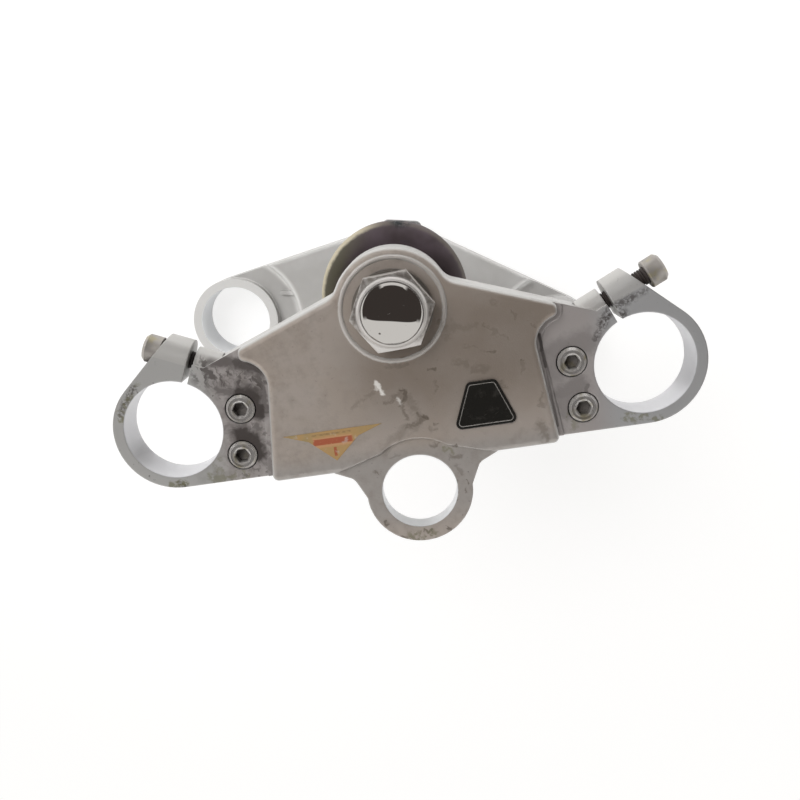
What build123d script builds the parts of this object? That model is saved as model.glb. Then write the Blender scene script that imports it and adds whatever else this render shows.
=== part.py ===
from build123d import *
from math import atan2, cos, degrees, radians, sin, sqrt, tan
import os

# Motorcycle triple clamp: two fork yokes on a steering stem, with its bearings, nuts and screws.
# Millimetres. +Z runs up the stem from the lower yoke's underside, -Y points ahead of the bike,
# +X to its left. The upper yoke is turned on the stem, as the nut is not done up.

# Fork layout, shared by both yokes
fork_dia = 45.0
fork_spacing = 212.8
fork_offset = 40.4  # fork centres ahead of the stem
clamp_pitch = 191.5  # top of a lower fork clamp to top of the upper one
upper_turn = 11.5  # turn of the upper yoke on the stem, degrees

# Upper yoke
upper_clamp_t = 18.5
upper_ring_wall = 5.0
panel_rise = 6.0  # centre panel above the clamp plates
panel_skin = 7.0
panel_wall = 6.0
panel_edge_r = 2.6
boss_r = 26.2
boss_blend_r = 9.0
ridge_r = 22.4
ridge_height = 0.9
hub_lap = 0.7  # how far the solid round the stem runs into the rear wall
rear_reach = 17.1  # straight rear wall behind the stem
rear_slope = 20.5
wing_half = 70.0  # half width at the panel's rear corners
notch_r = 11.7
notch_out = 1.3  # notch centre outboard of the panel's rear corner
notch_drop = 16.8  # and ahead of it
side_lean = 7.4  # sides of the panel, spreading towards the front
front_reach = 69.8
corner_r = 2.8
rib_t = 5.0
plate_root = 50.0  # where the clamp plates start inside the panel
foot_w = 2.6  # strip left as cast along the panel's foot
foot_h = 0.8

# Lock ring ahead of the panel
lock_bore_dia = 34.0
lock_reach = 83.5
lock_wall = 7.0
lock_t = 9.0
lock_step = 1.5
lock_relief = 0.6  # panel's front wall cut back from the lock, under its ring
flare_half = 37.0
flare_mid = 28.5
flare_drop = 4.0
flare_r = 5.0
step_r = 25.3
step_half = 15.0

# Pinch clamps, upper at the rear and lower at the front
upper_pinch_angle = 24.5
lower_pinch_angle = 45.0
pinch_offset = 31.5  # screw axis from the fork centre
slit_w = 2.6
lug_slant = 24.0
upper_seat = 14.5  # screw head seat from the slit's middle
inner_boss_r = 7.0
inner_boss_l = 12.5
lower_lug_l = 14.0
lower_inner_l = 19.0
lower_lug_end = 39.5
lower_lug_r = 4.0
backed_out = 6.0  # how far the left-hand pinch screw is undone

# Socket cap screws
screw_dia = 8.0
screw_l = 30.0
head_dia = 13.0
head_h = 8.0
head_chamfer = 0.7
socket_af = 6.0
socket_depth = 4.5
hole_fit = 0.1
spot_fit = 0.5
bar_screw_out = 3.2  # rear handlebar screw outboard of the notch centre
bar_screw_drop = 10.4  # and ahead of it
bar_screw_pitch = 21.6
bar_screw_lean = 8.0
bar_screw_sink = 6.5  # depth of its head in the plate
lower_screw_low = 8.5
lower_screw_high = 21.5

# Lower yoke
lower_clamp_t = 30.0
lower_ring_wall = 5.5
lower_boss_r = 29.0
web_top = 34.0
web_edge_r = 2.0
bite_corner_r = 6.0
recess_r = 43.0
recess_floor = 24.0
step_round = 4.0
step_foot = 3.0
bite_r = 92.0
bite_reach = 36.0  # front edge of the web ahead of the stem
lower_pocket = 14.0
lower_wall = 8.0
lower_hub_r = 23.0
lower_pocket_half = 58.0
stop_w = 26.0
stop_reach = 30.5
stop_corner_r = 4.0
stop_low = 8.0
stop_high = 24.0
cast_rib_l = 9.0
cast_rib_w = 2.6
cast_rib_h = 3.0
cast_rib_y = 20.0

# Stem, from its root in the lower yoke up to the nut's thread
stem_root_dia = 32.0
lower_seat_dia = 30.0
upper_seat_dia = 28.0
adjuster_dia = 26.0
journal_dia = 25.0
stud_dia = 20.0
stem_bore_dia = 17.0
stem_cap_t = 12.0
stud_l = 12.0
journal_short = 0.8
seat_relief = 0.5
stem_chamfer = 1.0
thread_fit = 0.05
running_fit = 0.05

# Nuts, washers and covers on the stem
nut_af = 32.0
nut_h = 9.0
nut_crown_r = 15.3
collar_r = 15.0
collar_top_r = 13.5
collar_h = 1.6
dome_r = 12.9
dome_foot = 0.6
dome_h = 5.6
nut_turn = 14.5
washer_dia = 35.0
washer_t = 1.5
ring_nut_dia = 42.0
ring_nut_h = 9.0
ring_nut_slots = 6
slot_w = 5.0
slot_depth = 3.0
ring_nut_chamfer = 0.8
tab_washer_t = 1.2
tab_w = 4.4
tab_h = 4.0
tab_gap = 0.2
cover_dia = 71.0
cover_t = 1.5
cover_round = 8.5
cover_skirt = 7.5
seal_dia = 58.0
seal_t = 2.5
seal_lip_h = 2.5
seal_lip_t = 1.5

# Taper bearings
lower_bearing_h = 17.0
upper_bearing_h = 16.0
race_wall = 4.4  # bore to raceway at the big end
race_angle = 9.5
roller_half_angle = 1.7
roller_count = 16
big_rib_w = 2.6
big_rib_h = 1.8
small_rib_w = 1.8
small_rib_h = 0.9
roller_gap = 0.06
roller_end_gap = 0.3
cage_t = 1.2
cage_lift = 1.0  # cage's middle outside the rollers' axes
cage_ring = 1.6
cage_gap = 0.25

# Badge and sticker on the panel
badge_x = 33.6
badge_rear = 36.3
badge_front = 57.0
badge_rear_w = 12.8
badge_front_w = 29.0
badge_t = 0.8
badge_corner_r = 2.6
sticker_x = -34.5
sticker_rear = 49.2
sticker_front = 63.4
sticker_w = 44.8
sticker_wing = 4.0
sticker_t = 0.2

# Heights and radii that follow from the sizes above
fork_half = fork_spacing / 2
fork_r = fork_dia / 2
upper_ring_r = fork_r + upper_ring_wall
lower_ring_r = fork_r + lower_ring_wall
clamp_top = lower_clamp_t + clamp_pitch
clamp_bottom = clamp_top - upper_clamp_t
clamp_mid = clamp_top - upper_clamp_t / 2
bar_seat = clamp_top - bar_screw_sink
panel_top = clamp_top + panel_rise
panel_t = panel_top - clamp_bottom
lock_top = panel_top - lock_step
lock_r = lock_bore_dia / 2 + lock_wall
hub_r = boss_r - panel_wall + hub_lap
lower_race_foot = web_top + seal_t
lock_nut_foot = clamp_bottom - ring_nut_h
tab_washer_foot = lock_nut_foot - tab_washer_t
adjuster_foot = tab_washer_foot - ring_nut_h
cover_foot = adjuster_foot - cover_t
upper_race_foot = cover_foot - upper_bearing_h
nut_foot = panel_top + washer_t
screw_r = screw_dia / 2
wing_drop = wing_half * tan(radians(rear_slope)) - rear_reach / cos(radians(rear_slope))
notch_x = wing_half + notch_out
notch_y = wing_drop + notch_drop
bar_screw_x = notch_x + bar_screw_out
bar_screw_y = notch_y + bar_screw_drop
side_x = notch_x - notch_r * cos(radians(side_lean))
side_y = notch_y + notch_r * sin(radians(side_lean))
front_half = side_x + (front_reach - side_y) * tan(radians(side_lean))
spoke_angle = degrees(atan2(front_half, front_reach))
hole_r = screw_r + hole_fit

yoke = Plane.XY.rotated((0, 0, upper_turn))
os.makedirs("parts", exist_ok=True)


def rear_y(x):
    """Height in plan of the panel's straight rear wall at x."""
    return rear_reach / cos(radians(rear_slope)) - abs(x) * tan(radians(rear_slope))


def clamp_point(side, rear, angle, along_slit, along_screw):
    """Point in plan by a fork: so far out along the slit, and along the screw towards its head."""
    a = radians(angle)
    x = fork_half - along_slit * sin(a) + along_screw * cos(a)
    y = along_slit * cos(a) + along_screw * sin(a)
    return side * x, rear * y - fork_offset


def upper_point(side, along_slit, along_screw):
    """Point in plan by an upper fork clamp."""
    return clamp_point(side, 1, upper_pinch_angle, along_slit, along_screw)


def lower_point(side, along_slit, along_screw):
    """Point in plan by a lower fork clamp."""
    return clamp_point(side, -1, lower_pinch_angle, along_slit, along_screw)


def screw_plane(base, point, side, along_screw, z):
    """Plane across a pinch screw's axis, facing its head."""
    here = base.from_local_coords(Vector(*point(side, pinch_offset, along_screw), z))
    ahead = base.from_local_coords(Vector(*point(side, pinch_offset, along_screw + 1), z))
    return Plane(origin=here, x_dir=(0, 0, 1), z_dir=ahead - here)


def bar_screw_places():
    """The four handlebar screws in plan, two on each clamp plate."""
    lean = radians(bar_screw_lean)
    places = []
    for side in (-1, 1):
        for row in (0, 1):
            x = bar_screw_x + row * bar_screw_pitch * sin(lean)
            y = bar_screw_y + row * bar_screw_pitch * cos(lean)
            places.append((side * x, -y))
    return places


def cap_screw(plane):
    """A socket cap screw whose head seats on the plane, with its shank behind."""
    with BuildPart() as screw:
        with BuildSketch(plane):
            Circle(head_dia / 2)
        extrude(amount=head_h)
        chamfer(screw.faces().sort_by(Axis(plane.origin, plane.z_dir))[-1].edges(), head_chamfer)
        with BuildSketch(plane.offset(head_h)):
            RegularPolygon(socket_af / 2, 6, major_radius=False)
        extrude(amount=-socket_depth, mode=Mode.SUBTRACT)
        with BuildSketch(plane):
            Circle(screw_r)
        extrude(amount=-screw_l)
    return screw.part


def panel_face():
    """The upper yoke's centre panel in plan, without the lock ring."""
    hook_y = -notch_y + sqrt(notch_r**2 - (notch_x - wing_half) ** 2)
    bend = notch_r * cos(radians(45))
    with BuildSketch() as plan:
        with BuildLine():
            Polyline((0, rear_y(0)), (wing_half, rear_y(wing_half)), (wing_half, hook_y))
            ThreePointArc((wing_half, hook_y), (notch_x - bend, bend - notch_y), (side_x, -side_y))
            Polyline((side_x, -side_y), (front_half, -front_reach), (0, -front_reach))
            mirror(about=Plane.YZ)
        make_face()
        Circle(boss_r)
        fillet(plan.vertices().filter_by(lambda v: v.Y > 0), boss_blend_r)
        fillet(plan.vertices().filter_by(lambda v: abs(v.X) > front_half - corner_r), corner_r)
    return plan.sketch


# Upper yoke: one casting, its panel hollow underneath, a split clamp at each end
with BuildPart() as upper_yoke:
    with BuildSketch(yoke.offset(clamp_bottom)):
        add(panel_face())
    extrude(amount=panel_t)
    fillet(upper_yoke.faces().sort_by(Axis.Z)[-1].edges(), panel_edge_r)

    # Lock ring, its neck flared into the panel's front edge
    with BuildSketch(yoke.offset(lock_top - lock_t)) as lock_plan:
        with BuildLine():
            Polyline(
                (0, -front_reach + panel_wall),
                (flare_half, -front_reach + panel_wall),
                (flare_half, -front_reach),
                (flare_mid, -front_reach - flare_drop),
                (lock_r, -lock_reach),
                (0, -lock_reach),
            )
            mirror(about=Plane.YZ)
        make_face()
        with Locations((0, -lock_reach)):
            Circle(lock_r)
        fillet(
            lock_plan.vertices().filter_by(lambda v: abs(abs(v.X) - flare_mid) < flare_drop / 2), flare_r
        )
    extrude(amount=lock_t)
    with BuildSketch(yoke.offset(lock_top)):
        with BuildLine():
            Polyline(
                (0, -lock_reach + step_r * cos(radians(45))),
                (step_half, -lock_reach + sqrt(step_r**2 - step_half**2)),
                (flare_half, -front_reach),
                (flare_half, -lock_reach - step_r),
                (0, -lock_reach - step_r),
            )
            mirror(about=Plane.YZ)
        make_face()
        with Locations((0, -lock_reach)):
            Circle(step_r)
    extrude(amount=panel_rise, mode=Mode.SUBTRACT)

    # Clamp plates with their rings and lugs
    for side in (-1, 1):
        slant = radians(lug_slant)
        lean = radians(upper_pinch_angle)
        half = slit_w / 2
        on_axis_x, on_axis_y = upper_point(1, pinch_offset, 0)
        meet = (rear_y(on_axis_x) - on_axis_y) / (sin(lean) + cos(lean) * tan(radians(rear_slope)))
        lug_end = (upper_ring_r - pinch_offset * sin(slant)) / cos(slant)
        tangent = upper_point(side, upper_ring_r * sin(slant), upper_ring_r * cos(slant))
        front = -fork_offset - upper_ring_r
        with BuildSketch(yoke.offset(clamp_bottom)) as plate_plan:
            with Locations((side * fork_half, -fork_offset)):
                Circle(upper_ring_r)
            with BuildLine():
                Polyline(
                    (side * plate_root, rear_y(plate_root)),
                    upper_point(side, pinch_offset, meet),
                    upper_point(side, pinch_offset, 0),
                    upper_point(side, 0, 0),
                    (side * fork_half, front),
                    (side * plate_root, front),
                    close=True,
                )
            make_face()
            with BuildLine():
                Polyline(
                    upper_point(side, 0, 0),
                    upper_point(side, pinch_offset, 0),
                    upper_point(side, pinch_offset, lug_end),
                    tangent,
                    close=True,
                )
            make_face()
        extrude(amount=upper_clamp_t)
        with BuildSketch(yoke.offset(clamp_top)):
            add(panel_face())
            offset(amount=foot_w)
            add(plate_plan.sketch_local, mode=Mode.INTERSECT)
        extrude(amount=foot_h)
        with BuildSketch(screw_plane(yoke, upper_point, side, 0, clamp_mid)):
            Circle(upper_clamp_t / 2)
        extrude(amount=2 * lug_end)
        with BuildSketch(screw_plane(yoke, upper_point, side, 0, clamp_mid)):
            Circle(inner_boss_r)
        extrude(amount=-inner_boss_l)
        reach = 2 * pinch_offset
        with BuildSketch(yoke.offset(clamp_bottom)):
            with BuildLine():
                Polyline(
                    tangent,
                    upper_point(side, reach, (upper_ring_r - reach * sin(slant)) / cos(slant)),
                    upper_point(side, reach, reach),
                    upper_point(side, upper_ring_r * sin(slant), reach),
                    close=True,
                )
            make_face()
        extrude(amount=upper_clamp_t, mode=Mode.SUBTRACT)

        # Fork bore, slit, spot face and screw holes
        with BuildSketch(yoke.offset(clamp_bottom)):
            with Locations((side * fork_half, -fork_offset)):
                Circle(fork_r)
            with BuildLine():
                Polyline(
                    upper_point(side, 0, -half),
                    upper_point(side, reach, -half),
                    upper_point(side, reach, half),
                    upper_point(side, 0, half),
                    close=True,
                )
            make_face()
        extrude(amount=upper_clamp_t, mode=Mode.SUBTRACT)
        with BuildSketch(screw_plane(yoke, upper_point, side, upper_seat, clamp_mid)):
            Circle(head_dia / 2 + spot_fit)
        extrude(amount=upper_seat, mode=Mode.SUBTRACT)
        with BuildSketch(screw_plane(yoke, upper_point, side, upper_seat, clamp_mid)):
            Circle(hole_r)
        extrude(amount=-screw_l - screw_r, mode=Mode.SUBTRACT)
    with BuildSketch(yoke.offset(clamp_bottom)):
        with Locations(*bar_screw_places()):
            Circle(hole_r)
    extrude(amount=upper_clamp_t, mode=Mode.SUBTRACT)
    with BuildSketch(yoke.offset(bar_seat)):
        with Locations(*bar_screw_places()):
            Circle(head_dia / 2 + spot_fit)
    extrude(amount=bar_screw_sink, mode=Mode.SUBTRACT)

    # Raised ridge round the nut's seat, stem bore and lock bore
    with BuildSketch(Plane.XZ):
        with Locations((ridge_r, panel_top)):
            Circle(ridge_height)
    revolve(axis=Axis.Z)
    with BuildSketch(yoke.offset(clamp_bottom)):
        Circle(journal_dia / 2 + running_fit)
    extrude(amount=panel_t + ridge_height, mode=Mode.SUBTRACT)
    with BuildSketch(yoke.offset(lock_top)):
        with Locations((0, -lock_reach)):
            Circle(lock_bore_dia / 2)
    extrude(amount=-lock_t, mode=Mode.SUBTRACT)
    with BuildSketch(yoke.offset(clamp_bottom)):
        with Locations((0, -lock_reach)):
            Circle(lock_bore_dia / 2 + lock_relief)
    extrude(amount=lock_top - lock_t - clamp_bottom, mode=Mode.SUBTRACT)

    # Hollow underside with a rib down the middle and two to the front corners
    with BuildSketch(yoke.offset(clamp_bottom)):
        add(panel_face())
        offset(amount=-panel_wall)
        Circle(hub_r, mode=Mode.SUBTRACT)
        with Locations((0, -front_reach / 2)):
            Rectangle(rib_t, front_reach, mode=Mode.SUBTRACT)
        spoke = sqrt(front_half**2 + front_reach**2)
        for side in (-1, 1):
            with Locations((side * front_half / 2, -front_reach / 2)):
                Rectangle(rib_t, spoke, rotation=side * spoke_angle, mode=Mode.SUBTRACT)
    extrude(amount=panel_t - panel_skin, mode=Mode.SUBTRACT)
upper_yoke.part.label = "upper_yoke"
export_step(upper_yoke.part, "parts/upper_yoke.step")

# Pinch screws of the upper yoke: the right-hand one home, the left-hand one backed out
with BuildPart() as upper_pinch_screws:
    add(cap_screw(screw_plane(yoke, upper_point, -1, upper_seat, clamp_mid)))
    add(cap_screw(screw_plane(yoke, upper_point, 1, upper_seat + backed_out, clamp_mid)))
upper_pinch_screws.part.label = "upper_pinch_screws"
export_step(upper_pinch_screws.part, "parts/upper_pinch_screws.step")

# Screws that held the handlebars under the clamp plates
with BuildPart() as handlebar_screws:
    for x, y in bar_screw_places():
        seat = yoke.from_local_coords(Vector(x, y, bar_seat))
        add(cap_screw(Plane(origin=seat, z_dir=(0, 0, 1))))
handlebar_screws.part.label = "handlebar_screws"
export_step(handlebar_screws.part, "parts/handlebar_screws.step")

# Badge plate, a rounded trapezium stuck to the panel
with BuildPart() as badge_plate:
    with BuildSketch(yoke.offset(panel_top)) as badge_plan:
        with BuildLine():
            Polyline(
                (badge_x - badge_rear_w / 2, -badge_rear),
                (badge_x + badge_rear_w / 2, -badge_rear),
                (badge_x + badge_front_w / 2, -badge_front),
                (badge_x - badge_front_w / 2, -badge_front),
                close=True,
            )
        make_face()
        fillet(badge_plan.vertices(), badge_corner_r)
    extrude(amount=badge_t)
badge_plate.part.label = "badge_plate"
export_step(badge_plate.part, "parts/badge_plate.step")

# Sticker, a winged triangle of film
with BuildPart() as panel_sticker:
    with BuildSketch(yoke.offset(panel_top)):
        with BuildLine():
            Polyline(
                (sticker_x - sticker_w / 2, -sticker_rear),
                (sticker_x + sticker_w / 2, -sticker_rear),
                (sticker_x + sticker_w / 4, -sticker_rear - sticker_wing),
                (sticker_x, -sticker_front),
                (sticker_x - sticker_w / 4, -sticker_rear - sticker_wing),
                close=True,
            )
        make_face()
    extrude(amount=sticker_t)
panel_sticker.part.label = "panel_sticker"
export_step(panel_sticker.part, "parts/panel_sticker.step")

# Lower yoke: one casting, its arms drawn tangent to the stem boss and the fork rings
with BuildPart() as lower_yoke:
    with BuildSketch() as lower_plan:
        Circle(lower_boss_r)
        with Locations((-fork_half, -fork_offset), (fork_half, -fork_offset)):
            Circle(lower_ring_r)
        make_hull()
        with Locations((0, -bite_reach - bite_r)):
            Circle(bite_r, mode=Mode.SUBTRACT)
        fillet(lower_plan.vertices().filter_by(lambda v: v.Y < -bite_reach - web_edge_r), bite_corner_r)
    extrude(amount=web_top)
    fillet(lower_yoke.faces().sort_by(Axis.Z)[-1].edges(), web_edge_r)

    # Turned recess round each fork, with the ring's rim left standing and a rounded step to the web
    with BuildSketch(Plane.XZ, mode=Mode.PRIVATE) as recess:
        with BuildLine():
            Polyline(
                (recess_r + step_round, web_top),
                (recess_r + step_round, web_top + step_round),
                (0, web_top + step_round),
                (0, lower_clamp_t),
                (lower_ring_r, lower_clamp_t),
                (lower_ring_r, recess_floor),
                (recess_r - step_foot, recess_floor),
            )
            CenterArc((recess_r - step_foot, recess_floor + step_foot), step_foot, -90, 90)
            Line((recess_r, recess_floor + step_foot), (recess_r, web_top - step_round))
            CenterArc((recess_r + step_round, web_top - step_round), step_round, 180, -90)
        make_face()
    for side in (-1, 1):
        fork_axis = Axis((side * fork_half, -fork_offset, 0), (0, 0, 1))
        revolve(recess.sketch.moved(Location(fork_axis.position)), axis=fork_axis, mode=Mode.SUBTRACT)

    # Small cast rib between each recess and the web
    rib_in = fork_half - sqrt(recess_r**2 - (fork_offset - cast_rib_y) ** 2)
    with BuildSketch(Plane.XY.offset(recess_floor)):
        with Locations((-rib_in, -cast_rib_y), (rib_in, -cast_rib_y)):
            Rectangle(2 * cast_rib_l, cast_rib_w)
    extrude(amount=cast_rib_h)

    # Pinch lugs, each for two screws one above the other
    for side in (-1, 1):
        with BuildSketch() as lug_plan:
            with BuildLine():
                Polyline(
                    lower_point(side, 0, -lower_inner_l),
                    lower_point(side, lower_lug_end, -lower_inner_l),
                    lower_point(side, lower_lug_end, lower_lug_l),
                    lower_point(side, 0, lower_lug_l),
                    close=True,
                )
            make_face()
            fillet(lug_plan.vertices().sort_by(Axis.Y)[:2], lower_lug_r)
        extrude(amount=lower_clamp_t)
    for side in (-1, 1):
        reach = 2 * lower_lug_end
        with BuildSketch():
            with Locations((side * fork_half, -fork_offset)):
                Circle(fork_r)
            with BuildLine():
                Polyline(
                    lower_point(side, 0, -slit_w / 2),
                    lower_point(side, reach, -slit_w / 2),
                    lower_point(side, reach, slit_w / 2),
                    lower_point(side, 0, slit_w / 2),
                    close=True,
                )
            make_face()
        extrude(amount=lower_clamp_t, mode=Mode.SUBTRACT)
        for z in (lower_screw_low, lower_screw_high):
            seat = screw_plane(Plane.XY, lower_point, side, lower_lug_l, z)
            with BuildSketch(seat):
                Circle(head_dia / 2 + spot_fit)
            extrude(amount=head_h, mode=Mode.SUBTRACT)
            with BuildSketch(seat):
                Circle(hole_r)
            extrude(amount=-screw_l - screw_r, mode=Mode.SUBTRACT)

    # Steering stop behind the boss, stem hole and the hollows underneath
    with BuildSketch(Plane.XY.offset(stop_low)) as stop_plan:
        with Locations((0, stop_reach / 2)):
            Rectangle(stop_w, stop_reach)
        fillet(stop_plan.vertices().sort_by(Axis.Y)[-2:], stop_corner_r)
    extrude(amount=stop_high - stop_low)
    with BuildSketch():
        Circle(stem_root_dia / 2)
    extrude(amount=web_top, mode=Mode.SUBTRACT)
    with BuildSketch():
        add(lower_plan.sketch)
        offset(amount=-lower_wall)
        Rectangle(2 * lower_pocket_half, fork_spacing, mode=Mode.INTERSECT)
        Circle(lower_hub_r, mode=Mode.SUBTRACT)
        Rectangle(rib_t, fork_spacing, mode=Mode.SUBTRACT)
    extrude(amount=lower_pocket, mode=Mode.SUBTRACT)
lower_yoke.part.label = "lower_yoke"
export_step(lower_yoke.part, "parts/lower_yoke.step")

# Pinch screws of the lower yoke, two a side
with BuildPart() as lower_pinch_screws:
    for side in (-1, 1):
        for z in (lower_screw_low, lower_screw_high):
            add(cap_screw(screw_plane(Plane.XY, lower_point, side, lower_lug_l, z)))
lower_pinch_screws.part.label = "lower_pinch_screws"
export_step(lower_pinch_screws.part, "parts/lower_pinch_screws.step")

# Steering stem: a steel tube, stepped for its bearings, the adjuster thread and the nut
with BuildPart() as steering_stem:
    stud_foot = panel_top - journal_short
    stud_top = nut_foot + stud_l
    with BuildSketch(Plane.XZ):
        with BuildLine():
            Polyline(
                (stem_bore_dia / 2, 0),
                (stem_root_dia / 2 - stem_chamfer, 0),
                (stem_root_dia / 2, stem_chamfer),
                (stem_root_dia / 2, web_top),
                (lower_seat_dia / 2, web_top),
                (lower_seat_dia / 2, upper_race_foot),
                (upper_seat_dia / 2, upper_race_foot),
                (upper_seat_dia / 2, cover_foot - seat_relief),
                (adjuster_dia / 2, cover_foot - seat_relief),
                (adjuster_dia / 2, clamp_bottom - seat_relief),
                (journal_dia / 2, clamp_bottom - seat_relief),
                (journal_dia / 2, stud_foot),
                (stud_dia / 2, stud_foot),
                (stud_dia / 2, stud_top - stem_chamfer),
                (stud_dia / 2 - stem_chamfer, stud_top),
                (0, stud_top),
                (0, stud_foot - stem_cap_t),
                (stem_bore_dia / 2, stud_foot - stem_cap_t),
                close=True,
            )
        make_face()
    revolve(axis=Axis.Z)
steering_stem.part.label = "steering_stem"
export_step(steering_stem.part, "parts/steering_stem.step")

# Dust seal under the lower bearing: a flat ring with a lip
with BuildPart() as lower_dust_seal:
    with BuildSketch(Plane.XZ):
        with BuildLine():
            Polyline(
                (lower_seat_dia / 2 + thread_fit, web_top),
                (seal_dia / 2, web_top),
                (seal_dia / 2, lower_race_foot + seal_lip_h),
                (seal_dia / 2 - seal_lip_t, lower_race_foot + seal_lip_h),
                (seal_dia / 2 - seal_lip_t, lower_race_foot),
                (lower_seat_dia / 2 + thread_fit, lower_race_foot),
                close=True,
            )
        make_face()
    revolve(axis=Axis.Z)
lower_dust_seal.part.label = "lower_dust_seal"
export_step(lower_dust_seal.part, "parts/lower_dust_seal.step")

# Taper bearings: the lower stands on its big end, the upper has it on top
bearings = (
    ("lower", lower_seat_dia / 2, lower_bearing_h, lower_race_foot, 1),
    ("upper", upper_seat_dia / 2, upper_bearing_h, cover_foot, -1),
)
for name, bore_r, race_h, big_face, up in bearings:
    # Raceway, rollers and cage are cones that share one apex on the stem's axis
    race_r = bore_r + race_wall
    slope = radians(race_angle)
    apex = big_rib_w + race_r / tan(slope)
    small_foot = race_h - small_rib_w
    small_r = (apex - small_foot) * tan(slope)
    with BuildPart() as bearing_race:
        with BuildSketch(Plane.XZ):
            with BuildLine():
                Polyline(
                    (bore_r, big_face),
                    (race_r + big_rib_h, big_face),
                    (race_r + big_rib_h, big_face + up * big_rib_w),
                    (race_r, big_face + up * big_rib_w),
                    (small_r, big_face + up * small_foot),
                    (small_r + small_rib_h, big_face + up * small_foot),
                    (small_r + small_rib_h, big_face + up * race_h),
                    (bore_r, big_face + up * race_h),
                    close=True,
                )
            make_face()
        revolve(axis=Axis.Z)
    bearing_race.part.label = f"{name}_bearing_race"
    export_step(bearing_race.part, f"parts/{name}_bearing_race.step")

    taper = tan(radians(roller_half_angle))
    lean = radians(race_angle + roller_half_angle) + roller_gap * sin(slope) / race_r
    drop = cos(lean) + taper * sin(lean)
    big_end = (apex - big_rib_w - roller_end_gap) / drop
    small_end = (apex - small_foot + roller_end_gap) / drop
    places = []
    for turn in range(roller_count):
        around = 2 * radians(180) * turn / roller_count
        axis = Vector(sin(lean) * cos(around), sin(lean) * sin(around), -up * cos(lean))
        places.append(Plane(origin=(0, 0, big_face + up * apex), z_dir=axis).offset(small_end))
    with BuildPart() as bearing_rollers:
        with Locations(*places):
            Cone(
                small_end * taper,
                big_end * taper,
                big_end - small_end,
                align=(Align.CENTER, Align.CENTER, Align.MIN),
            )
    bearing_rollers.part.label = f"{name}_bearing_rollers"
    export_step(bearing_rollers.part, f"parts/{name}_bearing_rollers.step")

    low = apex - big_end * cos(lean) - cage_ring
    high = apex - small_end * cos(lean) + cage_ring
    low_r = (apex - low) * tan(lean) + cage_lift
    high_r = (apex - high) * tan(lean) + cage_lift
    with BuildPart() as bearing_cage:
        with BuildSketch(Plane.XZ):
            with BuildLine():
                Polyline(
                    (low_r - cage_t / 2, big_face + up * low),
                    (low_r + cage_t / 2, big_face + up * low),
                    (high_r + cage_t / 2, big_face + up * high),
                    (high_r - cage_t / 2, big_face + up * high),
                    close=True,
                )
            make_face()
        revolve(axis=Axis.Z)
        with Locations(*[place.offset(-cage_gap) for place in places]):
            Cone(
                small_end * taper + cage_gap,
                big_end * taper + cage_gap,
                big_end - small_end + 2 * cage_gap,
                align=(Align.CENTER, Align.CENTER, Align.MIN),
                mode=Mode.SUBTRACT,
            )
    bearing_cage.part.label = f"{name}_bearing_cage"
    export_step(bearing_cage.part, f"parts/{name}_bearing_cage.step")

# Dust cover: a pressed dome over the upper bearing
with BuildPart() as dust_cover:
    cover_r = cover_dia / 2
    round_r = cover_r - cover_round
    round_z = adjuster_foot - cover_round
    with BuildSketch(Plane.XZ):
        with BuildLine():
            Polyline(
                (adjuster_dia / 2 + thread_fit, cover_foot),
                (adjuster_dia / 2 + thread_fit, adjuster_foot),
                (round_r, adjuster_foot),
            )
            CenterArc((round_r, round_z), cover_round, 90, -90)
            Polyline(
                (cover_r, round_z),
                (cover_r, round_z - cover_skirt),
                (cover_r - cover_t, round_z - cover_skirt),
                (cover_r - cover_t, round_z),
            )
            CenterArc((round_r, round_z), cover_round - cover_t, 0, 90)
            Line((round_r, cover_foot), (adjuster_dia / 2 + thread_fit, cover_foot))
        make_face()
    revolve(axis=Axis.Z)
dust_cover.part.label = "dust_cover"
export_step(dust_cover.part, "parts/dust_cover.step")

# Adjuster nut and the lock nut over it, both slotted for a hook spanner
for name, foot in (("adjuster_nut", adjuster_foot), ("lock_nut", lock_nut_foot)):
    with BuildPart() as ring_nut:
        with BuildSketch(Plane.XY.offset(foot)):
            Circle(ring_nut_dia / 2)
        extrude(amount=ring_nut_h)
        chamfer(ring_nut.edges(), ring_nut_chamfer)
        with BuildSketch(Plane.XY.offset(foot)):
            Circle(adjuster_dia / 2 + thread_fit)
            with PolarLocations(ring_nut_dia / 2, ring_nut_slots):
                Rectangle(2 * slot_depth, slot_w)
        extrude(amount=ring_nut_h, mode=Mode.SUBTRACT)
    ring_nut.part.label = name
    export_step(ring_nut.part, f"parts/{name}.step")

# Tab washer between the two, with tabs bent up into two of the lock nut's slots
with BuildPart() as tab_washer:
    with BuildSketch(Plane.XY.offset(tab_washer_foot)):
        Circle(ring_nut_dia / 2)
        Circle(adjuster_dia / 2 + thread_fit, mode=Mode.SUBTRACT)
    extrude(amount=tab_washer_t)
    with BuildSketch(Plane.XY.offset(lock_nut_foot)):
        with PolarLocations(ring_nut_dia / 2 - slot_depth + tab_gap + tab_washer_t / 2, 2):
            Rectangle(tab_washer_t, tab_w)
    extrude(amount=tab_h)
tab_washer.part.label = "tab_washer"
export_step(tab_washer.part, "parts/tab_washer.step")

# Washer and domed nut on top of the stem
with BuildPart() as stem_washer:
    with BuildSketch(Plane.XY.offset(panel_top)):
        Circle(washer_dia / 2)
        Circle(stud_dia / 2 + hole_fit, mode=Mode.SUBTRACT)
    extrude(amount=washer_t)
stem_washer.part.label = "stem_washer"
export_step(stem_washer.part, "parts/stem_washer.step")

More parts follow.
